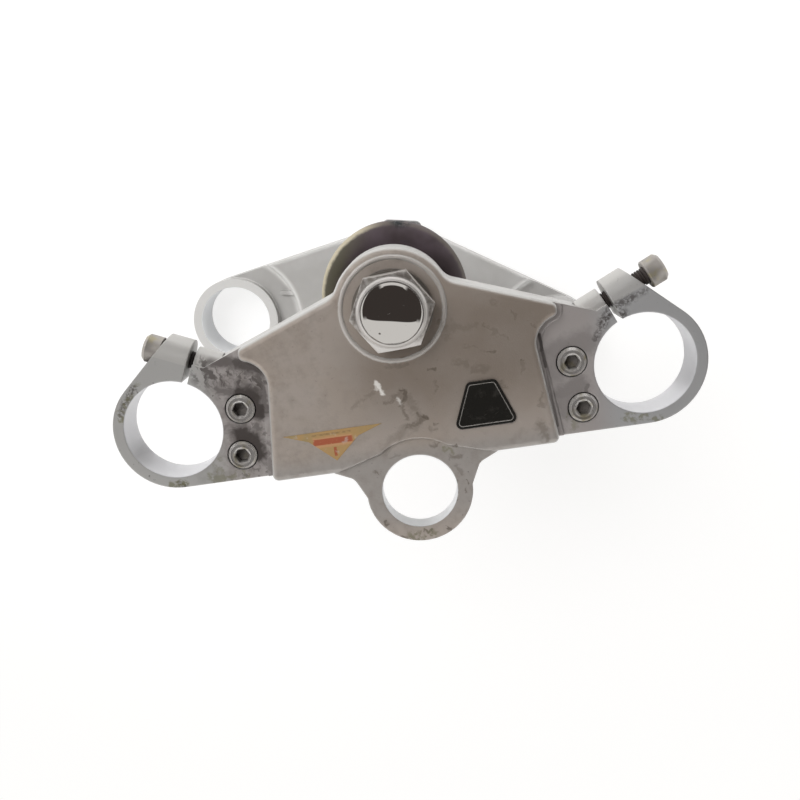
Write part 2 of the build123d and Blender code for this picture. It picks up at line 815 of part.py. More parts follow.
with BuildPart() as stem_nut:
    nut_top = nut_foot + nut_h
    corner = nut_af / sqrt(3)
    collar_top = nut_top + collar_h
    dome_top = collar_top + dome_foot + dome_h
    cap_r = (dome_r**2 + dome_h**2) / (2 * dome_h)
    cap_half = atan2(dome_r, cap_r - dome_h) / 2
    with BuildSketch(Plane.XY.offset(nut_foot)):
        RegularPolygon(nut_af / 2, 6, major_radius=False, rotation=nut_turn)
    extrude(amount=nut_h)
    with BuildSketch(Plane.XZ):
        with BuildLine():
            Polyline(
                (nut_crown_r, nut_top),
                (corner, nut_top - (corner - nut_crown_r) * tan(radians(30))),
                (corner, nut_top),
                close=True,
            )
        make_face()
    revolve(axis=Axis.Z, mode=Mode.SUBTRACT)
    with BuildSketch(Plane.XZ):
        with BuildLine():
            Polyline(
                (0, dome_top),
                (0, nut_top),
                (collar_r, nut_top),
                (collar_top_r, collar_top),
                (dome_r, collar_top),
                (dome_r, dome_top - dome_h),
            )
            ThreePointArc(
                (dome_r, dome_top - dome_h),
                (cap_r * sin(cap_half), dome_top - cap_r * (1 - cos(cap_half))),
                (0, dome_top),
            )
        make_face()
    revolve(axis=Axis.Z)
    with BuildSketch(Plane.XY.offset(nut_foot)):
        Circle(stud_dia / 2 + thread_fit)
    extrude(amount=stud_l + thread_fit, mode=Mode.SUBTRACT)
stem_nut.part.label = "stem_nut"
export_step(stem_nut.part, "parts/stem_nut.step")
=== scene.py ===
import bpy
import numpy as np
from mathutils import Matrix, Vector


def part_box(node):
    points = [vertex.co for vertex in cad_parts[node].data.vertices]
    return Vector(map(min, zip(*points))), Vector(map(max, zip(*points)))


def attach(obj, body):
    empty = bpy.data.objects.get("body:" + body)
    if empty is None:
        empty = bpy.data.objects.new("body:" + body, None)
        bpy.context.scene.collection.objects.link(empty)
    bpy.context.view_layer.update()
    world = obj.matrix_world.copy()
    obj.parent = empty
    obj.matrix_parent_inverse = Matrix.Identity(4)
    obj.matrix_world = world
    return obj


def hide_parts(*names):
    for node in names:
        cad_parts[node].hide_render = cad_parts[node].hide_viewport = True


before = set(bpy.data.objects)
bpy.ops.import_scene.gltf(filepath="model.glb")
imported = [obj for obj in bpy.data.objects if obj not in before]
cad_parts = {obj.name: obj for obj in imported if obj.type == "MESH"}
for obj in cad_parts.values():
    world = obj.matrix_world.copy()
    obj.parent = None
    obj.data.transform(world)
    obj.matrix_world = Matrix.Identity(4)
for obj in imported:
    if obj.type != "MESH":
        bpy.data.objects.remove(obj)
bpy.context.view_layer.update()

# Lower yoke: one aluminium casting under pale silver paint, with a split clamp for a fork at each end. The
# upper yoke has kept the weather off it, but grease has crept out over the steering stop behind the stem.
fork_half = 0.1064
fork_offset = 0.0404
fork_r = 0.0225
bore_edge = 0.0001
ring_r = 0.0282
ring_fade = 0.0010
stop_mid = (0.002, 0.031, 0.022)
stop_grease = (0.0120, 0.0070)
arc_r = 0.0430
arc_in = (0.0048, 0.0012)
arc_out = (0.0010, 0.0034)

paint_pale = (0.54, 0.532, 0.518, 1)
paint_shade = (0.475, 0.466, 0.450, 1)
# Painted highlight colour for the tops of the rings and arcs round the lower bores
ring_highlight_paint = (0.74, 0.732, 0.715, 1)
paint_rubbed = (0.76, 0.755, 0.745, 1)
bare_metal = (0.67, 0.67, 0.69, 1)
# Bare metal painted brighter, a painted highlight, for the lower bores and the lock ring's wall
lit_bare_metal = (0.82, 0.83, 0.84, 1)
# Road dirt, also the painted shade of hollows
road_dirt_and_shade = (0.042, 0.034, 0.031, 1)
grease = (0.014, 0.017, 0.019, 1)
grease_speck = (0.34, 0.35, 0.35, 1)


class Wire:
    """A shader socket that can stand in a sum: each operator adds the Math node that it means."""

    def __init__(self, tree, socket=None):
        self.tree = tree
        self.socket = socket

    def make(self, kind, inputs=None, out=0, **settings):
        """Adds any other node: its settings first, then a value or link for each socket. Gives one output."""
        made = self.tree.nodes.new("ShaderNode" + kind)
        for key, value in settings.items():
            setattr(made, key, value)
        for key, value in (inputs or {}).items():
            if isinstance(value, Wire):
                self.tree.links.new(value.socket, made.inputs[key])
            else:
                made.inputs[key].default_value = value
        return Wire(self.tree, made.outputs[out])

    def sum(self, operation, left, right):
        return self.make("Math", {0: left, 1: right}, operation=operation)

    def __add__(self, other):
        return self.sum("ADD", self, other)

    def __sub__(self, other):
        return self.sum("SUBTRACT", self, other)

    def __rsub__(self, other):
        return self.sum("SUBTRACT", other, self)

    def __mul__(self, other):
        return self.sum("MULTIPLY", self, other)

    def __or__(self, other):
        return self.sum("MAXIMUM", self, other)

    __radd__ = __add__
    __rmul__ = __mul__
    __ror__ = __or__

    def step(self, low, high):
        """Smooth ramp from 0 at low to 1 at high, in either order."""
        ends = {"Value": self, "From Min": low, "From Max": high}
        return self.make("MapRange", ends, interpolation_type="SMOOTHSTEP")

    def band(self, low, full, ebb, high):
        """Mask that rises from low to full and falls again from ebb to high."""
        return self.step(low, full) * self.step(high, ebb)

    def noise(self, size, detail=3.0, rough=0.55):
        """Cloudy value about 0.5 whose lumps are of that size, read at this vector."""
        lumps = {"Vector": self, "Scale": 1 / size, "Detail": detail, "Roughness": rough}
        return self.make("TexNoise", lumps)

    def stretch(self, scale, turn=(0, 0, 0)):
        """This vector turned, then scaled along each axis."""
        turned = self.make("Mapping", {"Vector": self, "Rotation": turn})
        return turned.make("Mapping", {"Vector": turned, "Scale": scale})

    def axis(self, name):
        return self.make("SeparateXYZ", {"Vector": self}, out=name)

    def apart(self, place):
        """Distance of this vector from a place."""
        return self.make("VectorMath", {0: self, 1: place}, out="Value", operation="DISTANCE")

    def around(self, x, y):
        """Distance from an upright line through x and y."""
        flat = self.make("VectorMath", {0: self, 1: (1, 1, 0)}, operation="MULTIPLY")
        return flat.apart((x, y, 0))

    def near(self, x0, y0, x1, y1):
        """Distance of a flat vector from the straight mark between two places."""
        along = np.array([x1 - x0, y1 - y0, 0.0])
        back = tuple(along / max(along @ along, 1e-9))
        out = self.make("VectorMath", {0: self, 1: (x0, y0, 0)}, operation="SUBTRACT")
        share = out.make("VectorMath", {0: out, 1: back}, out="Value", operation="DOT_PRODUCT")
        share = share.make("Clamp", {"Value": share})
        foot = share.make("VectorMath", {0: tuple(along), "Scale": share}, operation="SCALE")
        return out.apart(foot)

    def sway(self, size, far):
        """This flat vector pushed about by noise of that size, as far as that either way."""
        drift = self.make("TexNoise", {"Vector": self, "Scale": 1 / size, "Detail": 2.0}, out=1)
        drift = drift.make("VectorMath", {0: drift, 1: (0.5, 0.5, 0.5)}, operation="SUBTRACT")
        push = drift.make("VectorMath", {0: drift, 1: (2 * far, 2 * far, 0)}, operation="MULTIPLY")
        return self.make("VectorMath", {0: self, 1: push}, operation="ADD")

    def marks(self, table, core=0.4):
        """Strongest of a table of marks, each from a place to a place with its reach and its strength. The
        core is the share of the reach that a mark fills before it fades."""
        mask = 0
        for x0, y0, x1, y1, reach, strength in table:
            away = self.near(x0, y0, x1, y1)
            mask = mask | away.step(reach, core * reach) * strength
        return mask

    def upward(self, low, high):
        """Mask of the faces that look up: 0 where the normal rises by low, 1 where it rises by high."""
        return self.make("NewGeometry", out="Normal").axis("Z").step(low, high)

    def blend(self, under, over):
        """Colour under where this mask is 0, over where it is 1."""
        return self.make("Mix", {0: self, 6: under, 7: over}, out=2, data_type="RGBA")


def finish(name, recipe):
    """A material whose shader sockets take what the recipe works out from the Object coordinates."""
    made = bpy.data.materials.new(name)
    made.use_nodes = True
    shader = made.node_tree.nodes["Principled BSDF"]
    here = Wire(made.node_tree).make("TexCoord", out="Object")
    for socket, value in recipe(here).items():
        if isinstance(value, Wire):
            made.node_tree.links.new(value.socket, shader.inputs[socket])
        else:
            shader.inputs[socket].default_value = value
    return made


def dress(made, *names):
    """Gives a material to the CAD pieces of these names."""
    for name in names:
        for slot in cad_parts[name].material_slots:
            slot.material = made


def rounded(here, radius):
    """Normal with every edge rounded off, and a mask of those edges."""
    soft = here.make("Bevel", {"Radius": radius}, samples=6)
    flat = here.make("NewGeometry", out="Normal")
    same = here.make("VectorMath", {0: soft, 1: flat}, out="Value", operation="DOT_PRODUCT")
    return soft, same.step(0.985, 0.80)


def hollow_dirt_and_shade(here, reach):
    """Mask of what lies within reach of a neighbouring surface: the hollows, which the finishes darken both
    as soiling and as painted shade.
    """
    open_sky = here.make("AmbientOcclusion", {"Distance": reach}, out="AO", samples=8)
    return 1 - open_sky


def relief(here, height, depth, normal=None):
    """Bump of that depth from a height between 0 and 1."""
    inputs = {"Height": height, "Distance": depth}
    if normal:
        inputs["Normal"] = normal
    return here.make("Bump", inputs)


def bore_mask(here):
    """Mask of the two fork bores' machined walls."""
    mask = 0
    for side in (-1, 1):
        out = here.around(side * fork_half, -fork_offset)
        mask = mask | out.step(fork_r + 3 * bore_edge, fork_r + bore_edge)
    return mask


def lower_yoke_finish(here):
    """Pale paint, lighter on the tops of the rings and arcs round the bores as a painted highlight, its
    hollows darkened as soiling and painted shade, its bores bare and painted bright as a painted highlight,
    and black grease with dust specks behind.
    """
    soft, edge = rounded(here, 0.0005)
    cloud = here.noise(0.03)
    grain = here.noise(0.003, 4.0)
    top = here.upward(0.10, 0.40)
    colour = cloud.step(0.35, 0.65).blend(paint_pale, paint_shade)
    # Painted highlight on the upward faces of the ring round each bore and of the arc beyond it
    for side in (-1, 1):
        out = here.around(side * fork_half, -fork_offset)
        arc = out.band(arc_r - arc_in[0], arc_r - arc_in[1], arc_r + arc_out[0], arc_r + arc_out[1])
        pale = (out.step(ring_r + ring_fade, ring_r) * 0.9 | arc * 0.8) * top
        colour = pale.blend(colour, ring_highlight_paint)
    colour = (edge * 0.6).blend(colour, paint_rubbed)
    # Hollows darkened: dirt and painted shade
    dirt_and_shade = hollow_dirt_and_shade(here, 0.0025).step(0.45, 0.95) * grain.step(0.40, 0.62) * 0.35
    colour = dirt_and_shade.blend(colour, road_dirt_and_shade)
    patch = here.stretch((0.7, 1, 1)).apart((stop_mid[0] * 0.7, *stop_mid[1:])) + (grain - 0.5) * 0.008
    oily = patch.step(*stop_grease) * grain.step(0.30, 0.55) * 0.65
    colour = oily.blend(colour, grease)
    speck = oily * here.noise(0.0010, 3.0).step(0.56, 0.68) * 0.8
    colour = speck.blend(colour, grease_speck)
    # Bores painted brighter than bare metal: painted highlight
    colour = bore_mask(here).blend(colour, lit_bare_metal)
    return {
        "Base Color": colour,
        "Metallic": (1 - (dirt_and_shade | oily)) * 0.2,
        "Roughness": 0.42 + 0.2 * dirt_and_shade - 0.15 * oily,
        "Normal": relief(here, here.noise(0.0007, 2.0) + grain * 0.6, 0.00006, soft),
    }


dress(finish("lower_yoke_paint", lower_yoke_finish), "lower_yoke")

# Steering stem: a steel tube turned on the lathe and pressed into the lower yoke, with a film of old grease
# darkest beside the bearings.
low_grease = (0.085, 0.050)
high_grease = (0.135, 0.168)
turned_steel = (0.44, 0.425, 0.40, 1)
# Old grease, also the painted shade of bearing and nut hollows
old_grease_and_shade = (0.11, 0.085, 0.05, 1)


def stem_finish(here):
    """Fine turning lines round the stem, and grease in patches that thin out away from the bearings."""
    height = here.axis("Z")
    lines = here.stretch((3, 3, 400)).noise(0.09, 2.0)
    cloud = here.noise(0.016, 4.0)
    close = height.step(*low_grease) | height.step(*high_grease)
    oily = cloud.step(0.42, 0.66) * (close * 0.75 + 0.15)
    return {
        "Base Color": oily.blend(turned_steel, old_grease_and_shade),
        "Metallic": 1 - 0.8 * oily,
        "Roughness": 0.30 + 0.15 * lines - 0.08 * oily,
        "Normal": relief(here, lines, 0.00004),
    }


dress(finish("stem_steel", stem_finish), "steering_stem")

# Taper bearings: ground steel inner races and rollers, greased, in pressed steel cages. The lower one
# stands on a rubber dust seal. Their outer races stay behind in the head tube.
roller_steel = (0.62, 0.61, 0.59, 1)
cage_steel = (0.36, 0.34, 0.30, 1)
seal_black = (0.018, 0.018, 0.018, 1)
seal_dust = (0.11, 0.10, 0.09, 1)


def bearing_finish(here):
    """Bright ground steel under a broken film of brown grease, the hollows darkened also as painted shade."""
    grain = here.noise(0.002, 4.0)
    # Grease, and painted shade in the hollows between the rollers and races
    oily = here.noise(0.008, 5.0).step(0.46, 0.62) | hollow_dirt_and_shade(here, 0.002).step(0.4, 0.9)
    return {
        "Base Color": (oily * 0.85).blend(roller_steel, old_grease_and_shade),
        "Metallic": 1 - 0.75 * oily,
        "Roughness": 0.16 + 0.22 * oily + 0.1 * grain,
        "Normal": relief(here, grain, 0.00003),
    }


def cage_finish(here):
    """Dull pressed steel, dark with grease in its windows."""
    grain = here.noise(0.0025, 4.0)
    oily = grain.step(0.42, 0.6)
    return {
        "Base Color": (oily * 0.8).blend(cage_steel, old_grease_and_shade),
        "Metallic": 1 - 0.7 * oily,
        "Roughness": 0.38 + 0.2 * grain,
        "Normal": relief(here, grain, 0.00005),
    }


def seal_finish(here):
    """Black rubber, matt, dusted grey."""
    dust = here.noise(0.005, 5.0).step(0.45, 0.75)
    return {
        "Base Color": (dust * 0.6).blend(seal_black, seal_dust),
        "Roughness": 0.62 + 0.2 * dust,
        "Normal": relief(here, here.noise(0.0009, 3.0), 0.00008),
    }


dress(
    finish("bearing_steel", bearing_finish),
    "lower_bearing_race",
    "lower_bearing_rollers",
    "upper_bearing_race",
    "upper_bearing_rollers",
)
dress(finish("cage_steel", cage_finish), "lower_bearing_cage", "upper_bearing_cage")
dress(finish("seal_rubber", seal_finish), "lower_dust_seal")

# Dust cover: a pressed steel dome over the upper bearing, painted dark brown with a purple cast. Its rim is
# rubbed to a cream colour and given a painted highlight on the right-hand side, and olive dust has settled
# beside that.
cover_brown = (0.047, 0.036, 0.038, 1)
cover_purple = (0.072, 0.055, 0.063, 1)
# Cream of the worn rim, also its painted highlight
cover_cream_and_highlight = (0.40, 0.36, 0.27, 1)
cover_olive = (0.064, 0.060, 0.038, 1)
cover_rim = 0.0340
cover_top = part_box("dust_cover")[1].z
cover_skirt = (0.0108, 0.0080)
cover_grease = (0.001, 0.0397)
grease_reach = (0.0085, 0.0050)
dusty_side = (-0.010, -0.028)
rubbed_and_lit_side = (-0.004, -0.022)


def cover_finish(here):
    """Dark paint from brown to purple, a cream rim, worn and given a painted highlight, and olive dust on one
    side, and a few pale specks.
    """
    soft, _ = rounded(here, 0.0005)
    out = here.around(0, 0)
    upper = here.axis("Z").step(cover_top - cover_skirt[0], cover_top - cover_skirt[1])
    right = here.axis("X").step(*dusty_side)
    grain = here.noise(0.003, 4.0)
    colour = here.noise(0.02).step(0.35, 0.65).blend(cover_brown, cover_purple)
    dusty = right * (out + (grain - 0.5) * 0.006).step(0.024, 0.031) * 0.8
    colour = dusty.blend(colour, cover_olive)
    # Cream rim: wear, with a painted highlight on the lit side
    rim = (out + (grain - 0.5) * 0.0016).step(cover_rim - 0.0010, cover_rim + 0.0006)
    rubbed = rim * upper * (0.12 + 0.88 * here.axis("X").step(*rubbed_and_lit_side))
    rubbed = rubbed | here.noise(0.0014, 3.0).step(0.70, 0.76) * 0.2
    colour = rubbed.blend(colour, cover_cream_and_highlight)
    oily = here.around(*cover_grease).step(*grease_reach) * grain.step(0.34, 0.56) * upper
    colour = oily.blend(colour, grease)
    speck = oily * here.noise(0.0010, 3.0).step(0.58, 0.68) * 0.5
    return {
        "Base Color": speck.blend(colour, grease_speck),
        "Roughness": 0.55 + 0.2 * rubbed + 0.15 * grain,
        "Specular IOR Level": 0.25,
        "Normal": relief(here, grain, 0.00006, soft),
    }


dress(finish("cover_paint", cover_finish), "dust_cover")

# Adjuster nut, lock nut and tab washer: slotted steel rings under the upper yoke, plated and gone dull.
# Grease and dust have caked in their slots, which are darkened further as painted shade.
plating = (0.46, 0.44, 0.40, 1)


def ring_nut_finish(here):
    """Dull plating with brown soiling and painted shade in the slots, and faint rust."""
    soft, edge = rounded(here, 0.0004)
    grain = here.noise(0.003, 4.0)
    # Slots darkened: grease and painted shade
    dirt_and_shade = hollow_dirt_and_shade(here, 0.003).step(0.3, 0.8) * 0.8 | grain.step(0.58, 0.7) * 0.5
    colour = (edge * 0.5).blend(plating, bare_metal)
    return {
        "Base Color": dirt_and_shade.blend(colour, old_grease_and_shade),
        "Metallic": 1 - 0.8 * dirt_and_shade,
        "Roughness": 0.36 + 0.25 * dirt_and_shade,
        "Normal": relief(here, grain, 0.00005, soft),
    }


dress(finish("nut_plating", ring_nut_finish), "adjuster_nut", "lock_nut", "tab_washer")

# Upper yoke: the other casting, in silver-grey paint, with its bores machined bare. Road dirt sits along the
# foot of the raised panel and round the screws, darkened there further as painted shadow, and the paint is
# stained, chipped and scuffed from use.
upper_turn = np.radians(11.5)
clamp_top = 0.2215
lock_reach = 0.0835
lock_r = 0.017
lug_lean = np.radians(24.5)
lug_line = 0.0303
ridge_level = (0.2277, 0.2281)

paint_grey = (0.467, 0.413, 0.370, 1)
paint_warm = (0.441, 0.381, 0.332, 1)
# Tarnish brown, also the painted shade of the panel
tarnish_and_shade_paint = (0.226, 0.184, 0.150, 1)
paint_ring_grey = (0.405, 0.376, 0.352, 1)
paint_right = (0.461, 0.455, 0.442, 1)
paint_left = (0.448, 0.448, 0.451, 1)
paint_plate = (0.435, 0.402, 0.390, 1)
paint_side = (0.51, 0.50, 0.482, 1)
# Worn paint, also the painted highlight of the ridge's top
worn_and_highlit_paint = (0.70, 0.686, 0.664, 1)
# Painted highlight of the pinch lugs' bosses
lug_highlight = (0.56, 0.547, 0.522, 1)
# Brown of stains, also of painted shadow and shade
brown_stain_and_shade = (0.105, 0.085, 0.066, 1)
olive_dirt = (0.14, 0.135, 0.075, 1)
chip_white = (0.76, 0.74, 0.70, 1)

# Middles of the broad stains, in millimetres of the casting's own plan: where each begins and ends; the first
# is tarnish with painted shade. The ridge round the stem nut has the radii at which its worn top, given a
# painted highlight, begins and ends.
tarnish_and_shade_line = (6, -22, 52, -20)
streak_line = (-86, -16, -66, -24)
dust_line = (-72, -26, -72, -64)
film_line = (-84, -60, -72, -30)
ridge_band = (21.3, 22.0, 22.8, 23.5)

# Smaller marks of the same plan: where each begins and ends, its reach and its strength
panel_stains_and_shadow = (
    (-23.1, -40.4, -19.9, -37.5, 2.2, 0.30),
    (-19.9, -37.5, -13.5, -35.6, 2.0, 0.38),
    (-9.5, -40.5, -2.6, -37.7, 2.0, 0.48),
    (-1.0, -36.0, -0.5, -39.6, 1.8, 0.75),
    (-1.6, -41.0, -2.4, -44.0, 1.5, 0.50),
    (-2.2, -45.5, -0.8, -48.6, 1.6, 0.55),
    (1.3, -39.7, 3.9, -47.8, 3.0, 0.42),
    (3.4, -49.2, 7.6, -49.7, 1.5, 0.75),
    (5.3, -50.9, -0.8, -53.2, 2.2, 0.60),
    (2.6, -52.4, -9.8, -57.5, 3.6, 0.34),
    (-9.8, -57.5, -13.2, -62.0, 3.6, 0.26),
    # Painted shadow in front of the ridge round the stem nut
    (-5.5, -24.2, 1.8, -24.6, 2.0, 0.40),
    (12.4, -28.5, 14.6, -28.8, 1.0, 0.70),
    (13.9, -33.2, 12.4, -37.7, 1.2, 0.50),
    (10.8, -52.4, 13.0, -52.8, 1.1, 0.55),
    (9.0, -55.0, 11.2, -55.6, 1.7, 0.40),
    (20.6, -11.6, 33.7, -12.6, 3.4, 0.42),
    (38.0, -13.4, 38.8, -14.0, 1.4, 0.90),
    (39.2, -14.6, 47.9, -19.4, 1.0, 0.40),
    (28.6, -19.8, 38.5, -23.4, 0.9, 0.36),
    (38.6, -23.6, 40.8, -24.1, 1.1, 0.75),
    (23.4, -27.0, 28.0, -27.8, 2.6, 0.45),
    (30.6, -31.0, 36.0, -31.6, 2.8, 0.48),
    (52.6, -29.8, 52.6, -30.5, 1.1, 0.70),
    (52.2, -31.0, 51.3, -35.0, 1.2, 0.40),
    (42.2, -37.2, 43.4, -40.6, 1.7, 0.45),
    (50.8, -9.6, 52.0, -11.0, 1.5, 0.45),
    (58.9, -15.2, 59.2, -15.8, 1.1, 0.55),
    (43.0, -2.8, 43.4, -4.0, 2.0, 0.40),
    (58.9, -46.6, 58.5, -51.0, 1.8, 0.42),
    (57.0, -60.0, 58.8, -66.5, 3.6, 0.48),
    (21.6, -15.0, 19.8, -8.0, 2.0, 0.40),
)
ring_stains = (
    (7.6, -62.4, 11.0, -63.0, 1.5, 0.75),
    (18.2, -64.3, 18.8, -64.9, 1.2, 0.90),
    (16.4, -70.0, 20.3, -69.7, 1.7, 0.70),
    (18.2, -74.6, 19.2, -77.0, 1.7, 0.55),
    (22.6, -80.8, 22.8, -83.2, 1.0, 0.80),
    (20.9, -86.0, 20.8, -87.2, 1.2, 0.75),
    (-18.9, -71.4, -17.6, -72.2, 1.3, 0.75),
    (-10.0, -66.2, -6.8, -65.6, 1.2, 0.45),
    (-17.4, -96.0, -17.2, -96.8, 1.2, 0.90),
    (10.0, -104.4, 11.2, -105.0, 1.2, 0.90),
    (-1.4, -102.5, 3.2, -102.8, 1.0, 0.75),
    (-10.8, -104.8, -9.4, -105.6, 1.4, 0.80),
    (16.6, -82.0, 16.2, -90.0, 1.0, 0.75),
    (-13.1, -106.6, -5.1, -108.4, 1.2, 0.70),
    (-5.1, -108.4, 4.4, -108.9, 1.2, 0.70),
)
plate_grime_and_shadow = (
    # Beside the left screw heads: dirt and painted shadow
    (-73.0, -28.2, -68.2, -31.0, 8.4, 0.97),
    (-68.2, -31.0, -66.6, -37.0, 7.2, 0.97),
    (-76.6, -47.2, -71.7, -49.8, 7.4, 0.97),
    (-71.7, -49.8, -70.4, -57.4, 6.8, 0.97),
    (-82.4, -12.4, -71.7, -14.5, 5.6, 0.80),
    (-71.7, -14.5, -62.0, -18.0, 5.6, 0.90),
    (-82.6, -24.6, -76.6, -27.4, 3.6, 0.70),
    (-63.4, -20.0, -62.6, -36.0, 2.4, 0.75),
    (-81.6, -42.0, -78.4, -43.2, 2.2, 0.45),
    (-69.4, -44.4, -67.0, -45.4, 2.4, 0.65),
    (-66.4, -60.0, -65.0, -66.0, 2.4, 0.50),
    # Round the right screw heads: dirt and painted shadow
    (81.8, -27.2, 68.0, -30.4, 9.0, 0.45),
    (67.6, -34.0, 68.0, -40.0, 7.0, 0.40),
    (76.4, -45.8, 69.6, -48.8, 7.0, 0.50),
    (79.4, -46.8, 79.0, -50.2, 1.8, 0.65),
    (70.4, -53.0, 70.8, -58.0, 6.6, 0.42),
)
soot = (
    (96.4, -13.6, 98.2, -17.4, 4.2, 0.92),
    (97.0, -12.8, 103.5, -10.8, 3.2, 0.85),
    (103.5, -10.8, 109.0, -8.6, 2.4, 0.70),
    (93.4, -14.6, 89.4, -20.4, 4.0, 0.92),
    (89.4, -20.4, 85.6, -26.5, 3.0, 0.80),
    (85.6, -26.5, 84.2, -33.0, 1.6, 0.45),
    (-119.9, -18.7, -125.9, -25.7, 2.6, 0.85),
    (-125.9, -25.7, -129.0, -31.0, 2.2, 0.80),
    (-108.8, -65.9, -107.0, -67.3, 2.0, 0.85),
)
# Dirt and painted shadow along the foot of the panel's step
foot_dirt_and_shadow = (
    (61.6, -21.0, 61.9, -28.0, 1.3, 0.95),
    (61.9, -28.0, 62.9, -35.6, 1.1, 0.90),
    (62.9, -35.6, 65.4, -63.0, 0.8, 0.60),
)
olive_spots = (
    (-128.6, -30.0, -128.0, -33.0, 2.2, 0.80),
    (-125.4, -26.0, -123.0, -23.0, 2.4, 0.60),
    (-121.0, -19.6, -118.8, -17.0, 2.4, 0.45),
    (-112.0, -65.6, -106.8, -65.8, 2.6, 0.80),
    (-92.6, -66.0, -78.8, -66.2, 4.4, 0.62),
    (-89.4, -58.0, -88.4, -63.0, 4.4, 0.50),
    (71.0, -61.0, 72.0, -63.0, 3.8, 0.55),
    (95.6, -64.0, 111.0, -65.6, 2.8, 0.70),
    (-6.0, -106.0, 2.0, -105.0, 4.6, 0.66),
    (14.4, -66.4, 16.2, -67.8, 2.0, 0.65),
)
paint_chips = (
    (-11.9, -30.6, -9.8, -36.0, 1.5, 0.80),
    (-3.7, -38.9, -2.6, -41.6, 0.9, 0.55),
    (-12.4, -31.2, -12.0, -34.0, 1.0, 0.5),
)


def upper_yoke_finish(here):
    """Paint in the yoke's own axes: tone with painted shade and highlights, then stains, soiling and painted
    shadow, specks, chips and the bare bores.
    """
    cos, sin = np.cos(lug_lean), np.sin(lug_lean)
    at = here.make("Mapping", {"Vector": here, "Rotation": (0, 0, -upper_turn)})
    plan = at.make("VectorMath", {0: at, 1: (1000, 1000, 0)}, operation="MULTIPLY")
    smear = plan.sway(5.0, 3.2).sway(1.4, 1.3)
    soft, edge = rounded(here, 0.0010)
    cloud = at.noise(0.022)
    grain = at.noise(0.0035, 4.0)
    fine = at.noise(0.0006, 2.0)
    level = at.axis("Z")
    top = here.upward(0.55, 0.93)
    plate = level.step(clamp_top + 0.0032, clamp_top + 0.0016)

    # Paint: warm on the panel, tarnished brown behind and left of the stem and darkened there as painted
    # shade, plainer on the clamps and lock ring, rubbed lighter along its edges, with a painted highlight on
    # the pinch lugs and on the ridge's top
    colour = cloud.step(0.35, 0.65).blend(paint_grey, paint_warm)
    lock = at.axis("Y").step(-0.090, -0.104).blend(paint_ring_grey, paint_grey)
    colour = at.axis("Y").step(-0.058, -0.068).blend(colour, lock)
    side = at.make("Math", {0: at.axis("X")}, operation="ABSOLUTE") - fork_half
    rear = at.axis("Y") + fork_offset
    grey = at.axis("X").step(-0.03, 0.06).blend(paint_right, paint_left)
    grey = side.step(-0.012, -0.026).blend(grey, paint_plate)
    colour = plate.blend(colour, grey)
    out, along = rear * cos - side * sin, side * cos + rear * sin
    # Painted highlight on the top of each pinch lug's boss
    low = level.step(clamp_top - 0.0003, clamp_top - 0.0008) * along.step(-0.020, -0.016)
    lug_highlight_mask = (along.step(-0.0005, 0.0005) | low) * along.step(0.018, 0.016)
    lug_highlight_mask = lug_highlight_mask * out.step(lug_line - 0.0002, lug_line + 0.0002)
    colour = (lug_highlight_mask * 0.6).blend(colour, lug_highlight)
    # Tarnish, and painted shade over the panel behind and left of the stem
    tarnish_and_shade = plan.near(*tarnish_and_shade_line).step(46, 8) * (0.72 + 0.4 * (cloud - 0.5)) * (1 - plate)
    tarnish_and_shade = tarnish_and_shade | at.noise(0.0045, 5.0, 0.65).step(0.40, 0.75) * 0.30 * (1 - plate)
    colour = top.blend(paint_side, tarnish_and_shade.blend(colour, tarnish_and_shade_paint))
    # Painted highlight on the ridge's top, joined to the worn edges
    ridge_highlight = plan.apart((0, 0, 0)).band(*ridge_band) * level.step(*ridge_level)
    rubbed = edge * grain.step(0.30, 0.55) * (0.8 - 0.65 * plate) | ridge_highlight * 0.5
    colour = rubbed.blend(colour, worn_and_highlit_paint)

    # Stains of the panel and the lock ring, with one painted shadow in front of the ridge
    stain_and_shadow = smear.marks(panel_stains_and_shadow, 0.2) * (1 - plate) * grain.step(0.24, 0.52) * 1.3
    stain_and_shadow = stain_and_shadow | smear.marks(ring_stains, 0.2) * 0.85
    stain_and_shadow = (stain_and_shadow | at.noise(0.010, 5.0).step(0.52, 0.80) * 0.22 * (1 - plate)) * top
    stain_and_shadow = stain_and_shadow | at.noise(0.012, 5.0).step(0.54, 0.76) * 0.22 * (1 - top)
    colour = stain_and_shadow.blend(colour, brown_stain_and_shade)

    # Grime of the clamp plates: streaks that run forward from the panel's foot, black dirt with painted
    # shadow by the screws and along the panel's foot, and the corners darkened as dirt and painted shade
    lane = smear.stretch((1 / 3.4, 1 / 7.0, 1), (0, 0, -0.35)).noise(1.0, 4.0)
    streak = plan.near(*streak_line).step(13, 3) * lane.step(0.44, 0.58) * 0.85
    dust = plan.near(*dust_line).step(15, 6) * at.noise(0.0026, 4.0).step(0.50, 0.64) * 0.55
    film = plan.near(*film_line).step(24, 6) * at.noise(0.006, 4.0).step(0.30, 0.70) * 0.42
    colour = (film * plate * top).blend(colour, brown_stain_and_shade)
    grime_and_shade = (streak | dust | smear.marks(plate_grime_and_shadow, 0.28)) * plate
    sooty = plan.sway(1.4, 0.7).marks(soot, 0.2) * at.noise(0.0012, 3.0).step(0.30, 0.60)
    grime_and_shade = (grime_and_shade | (sooty | plan.sway(4.0, 0.4).marks(foot_dirt_and_shadow, 0.3)) * plate) * top
    # Corners of the plates darkened: dirt and painted shade
    corner = hollow_dirt_and_shade(here, 0.0025).step(0.40, 0.90) * plate
    grime_and_shade = grime_and_shade | corner * grain.step(0.3, 0.5) * 0.6
    colour = grime_and_shade.blend(colour, road_dirt_and_shade)

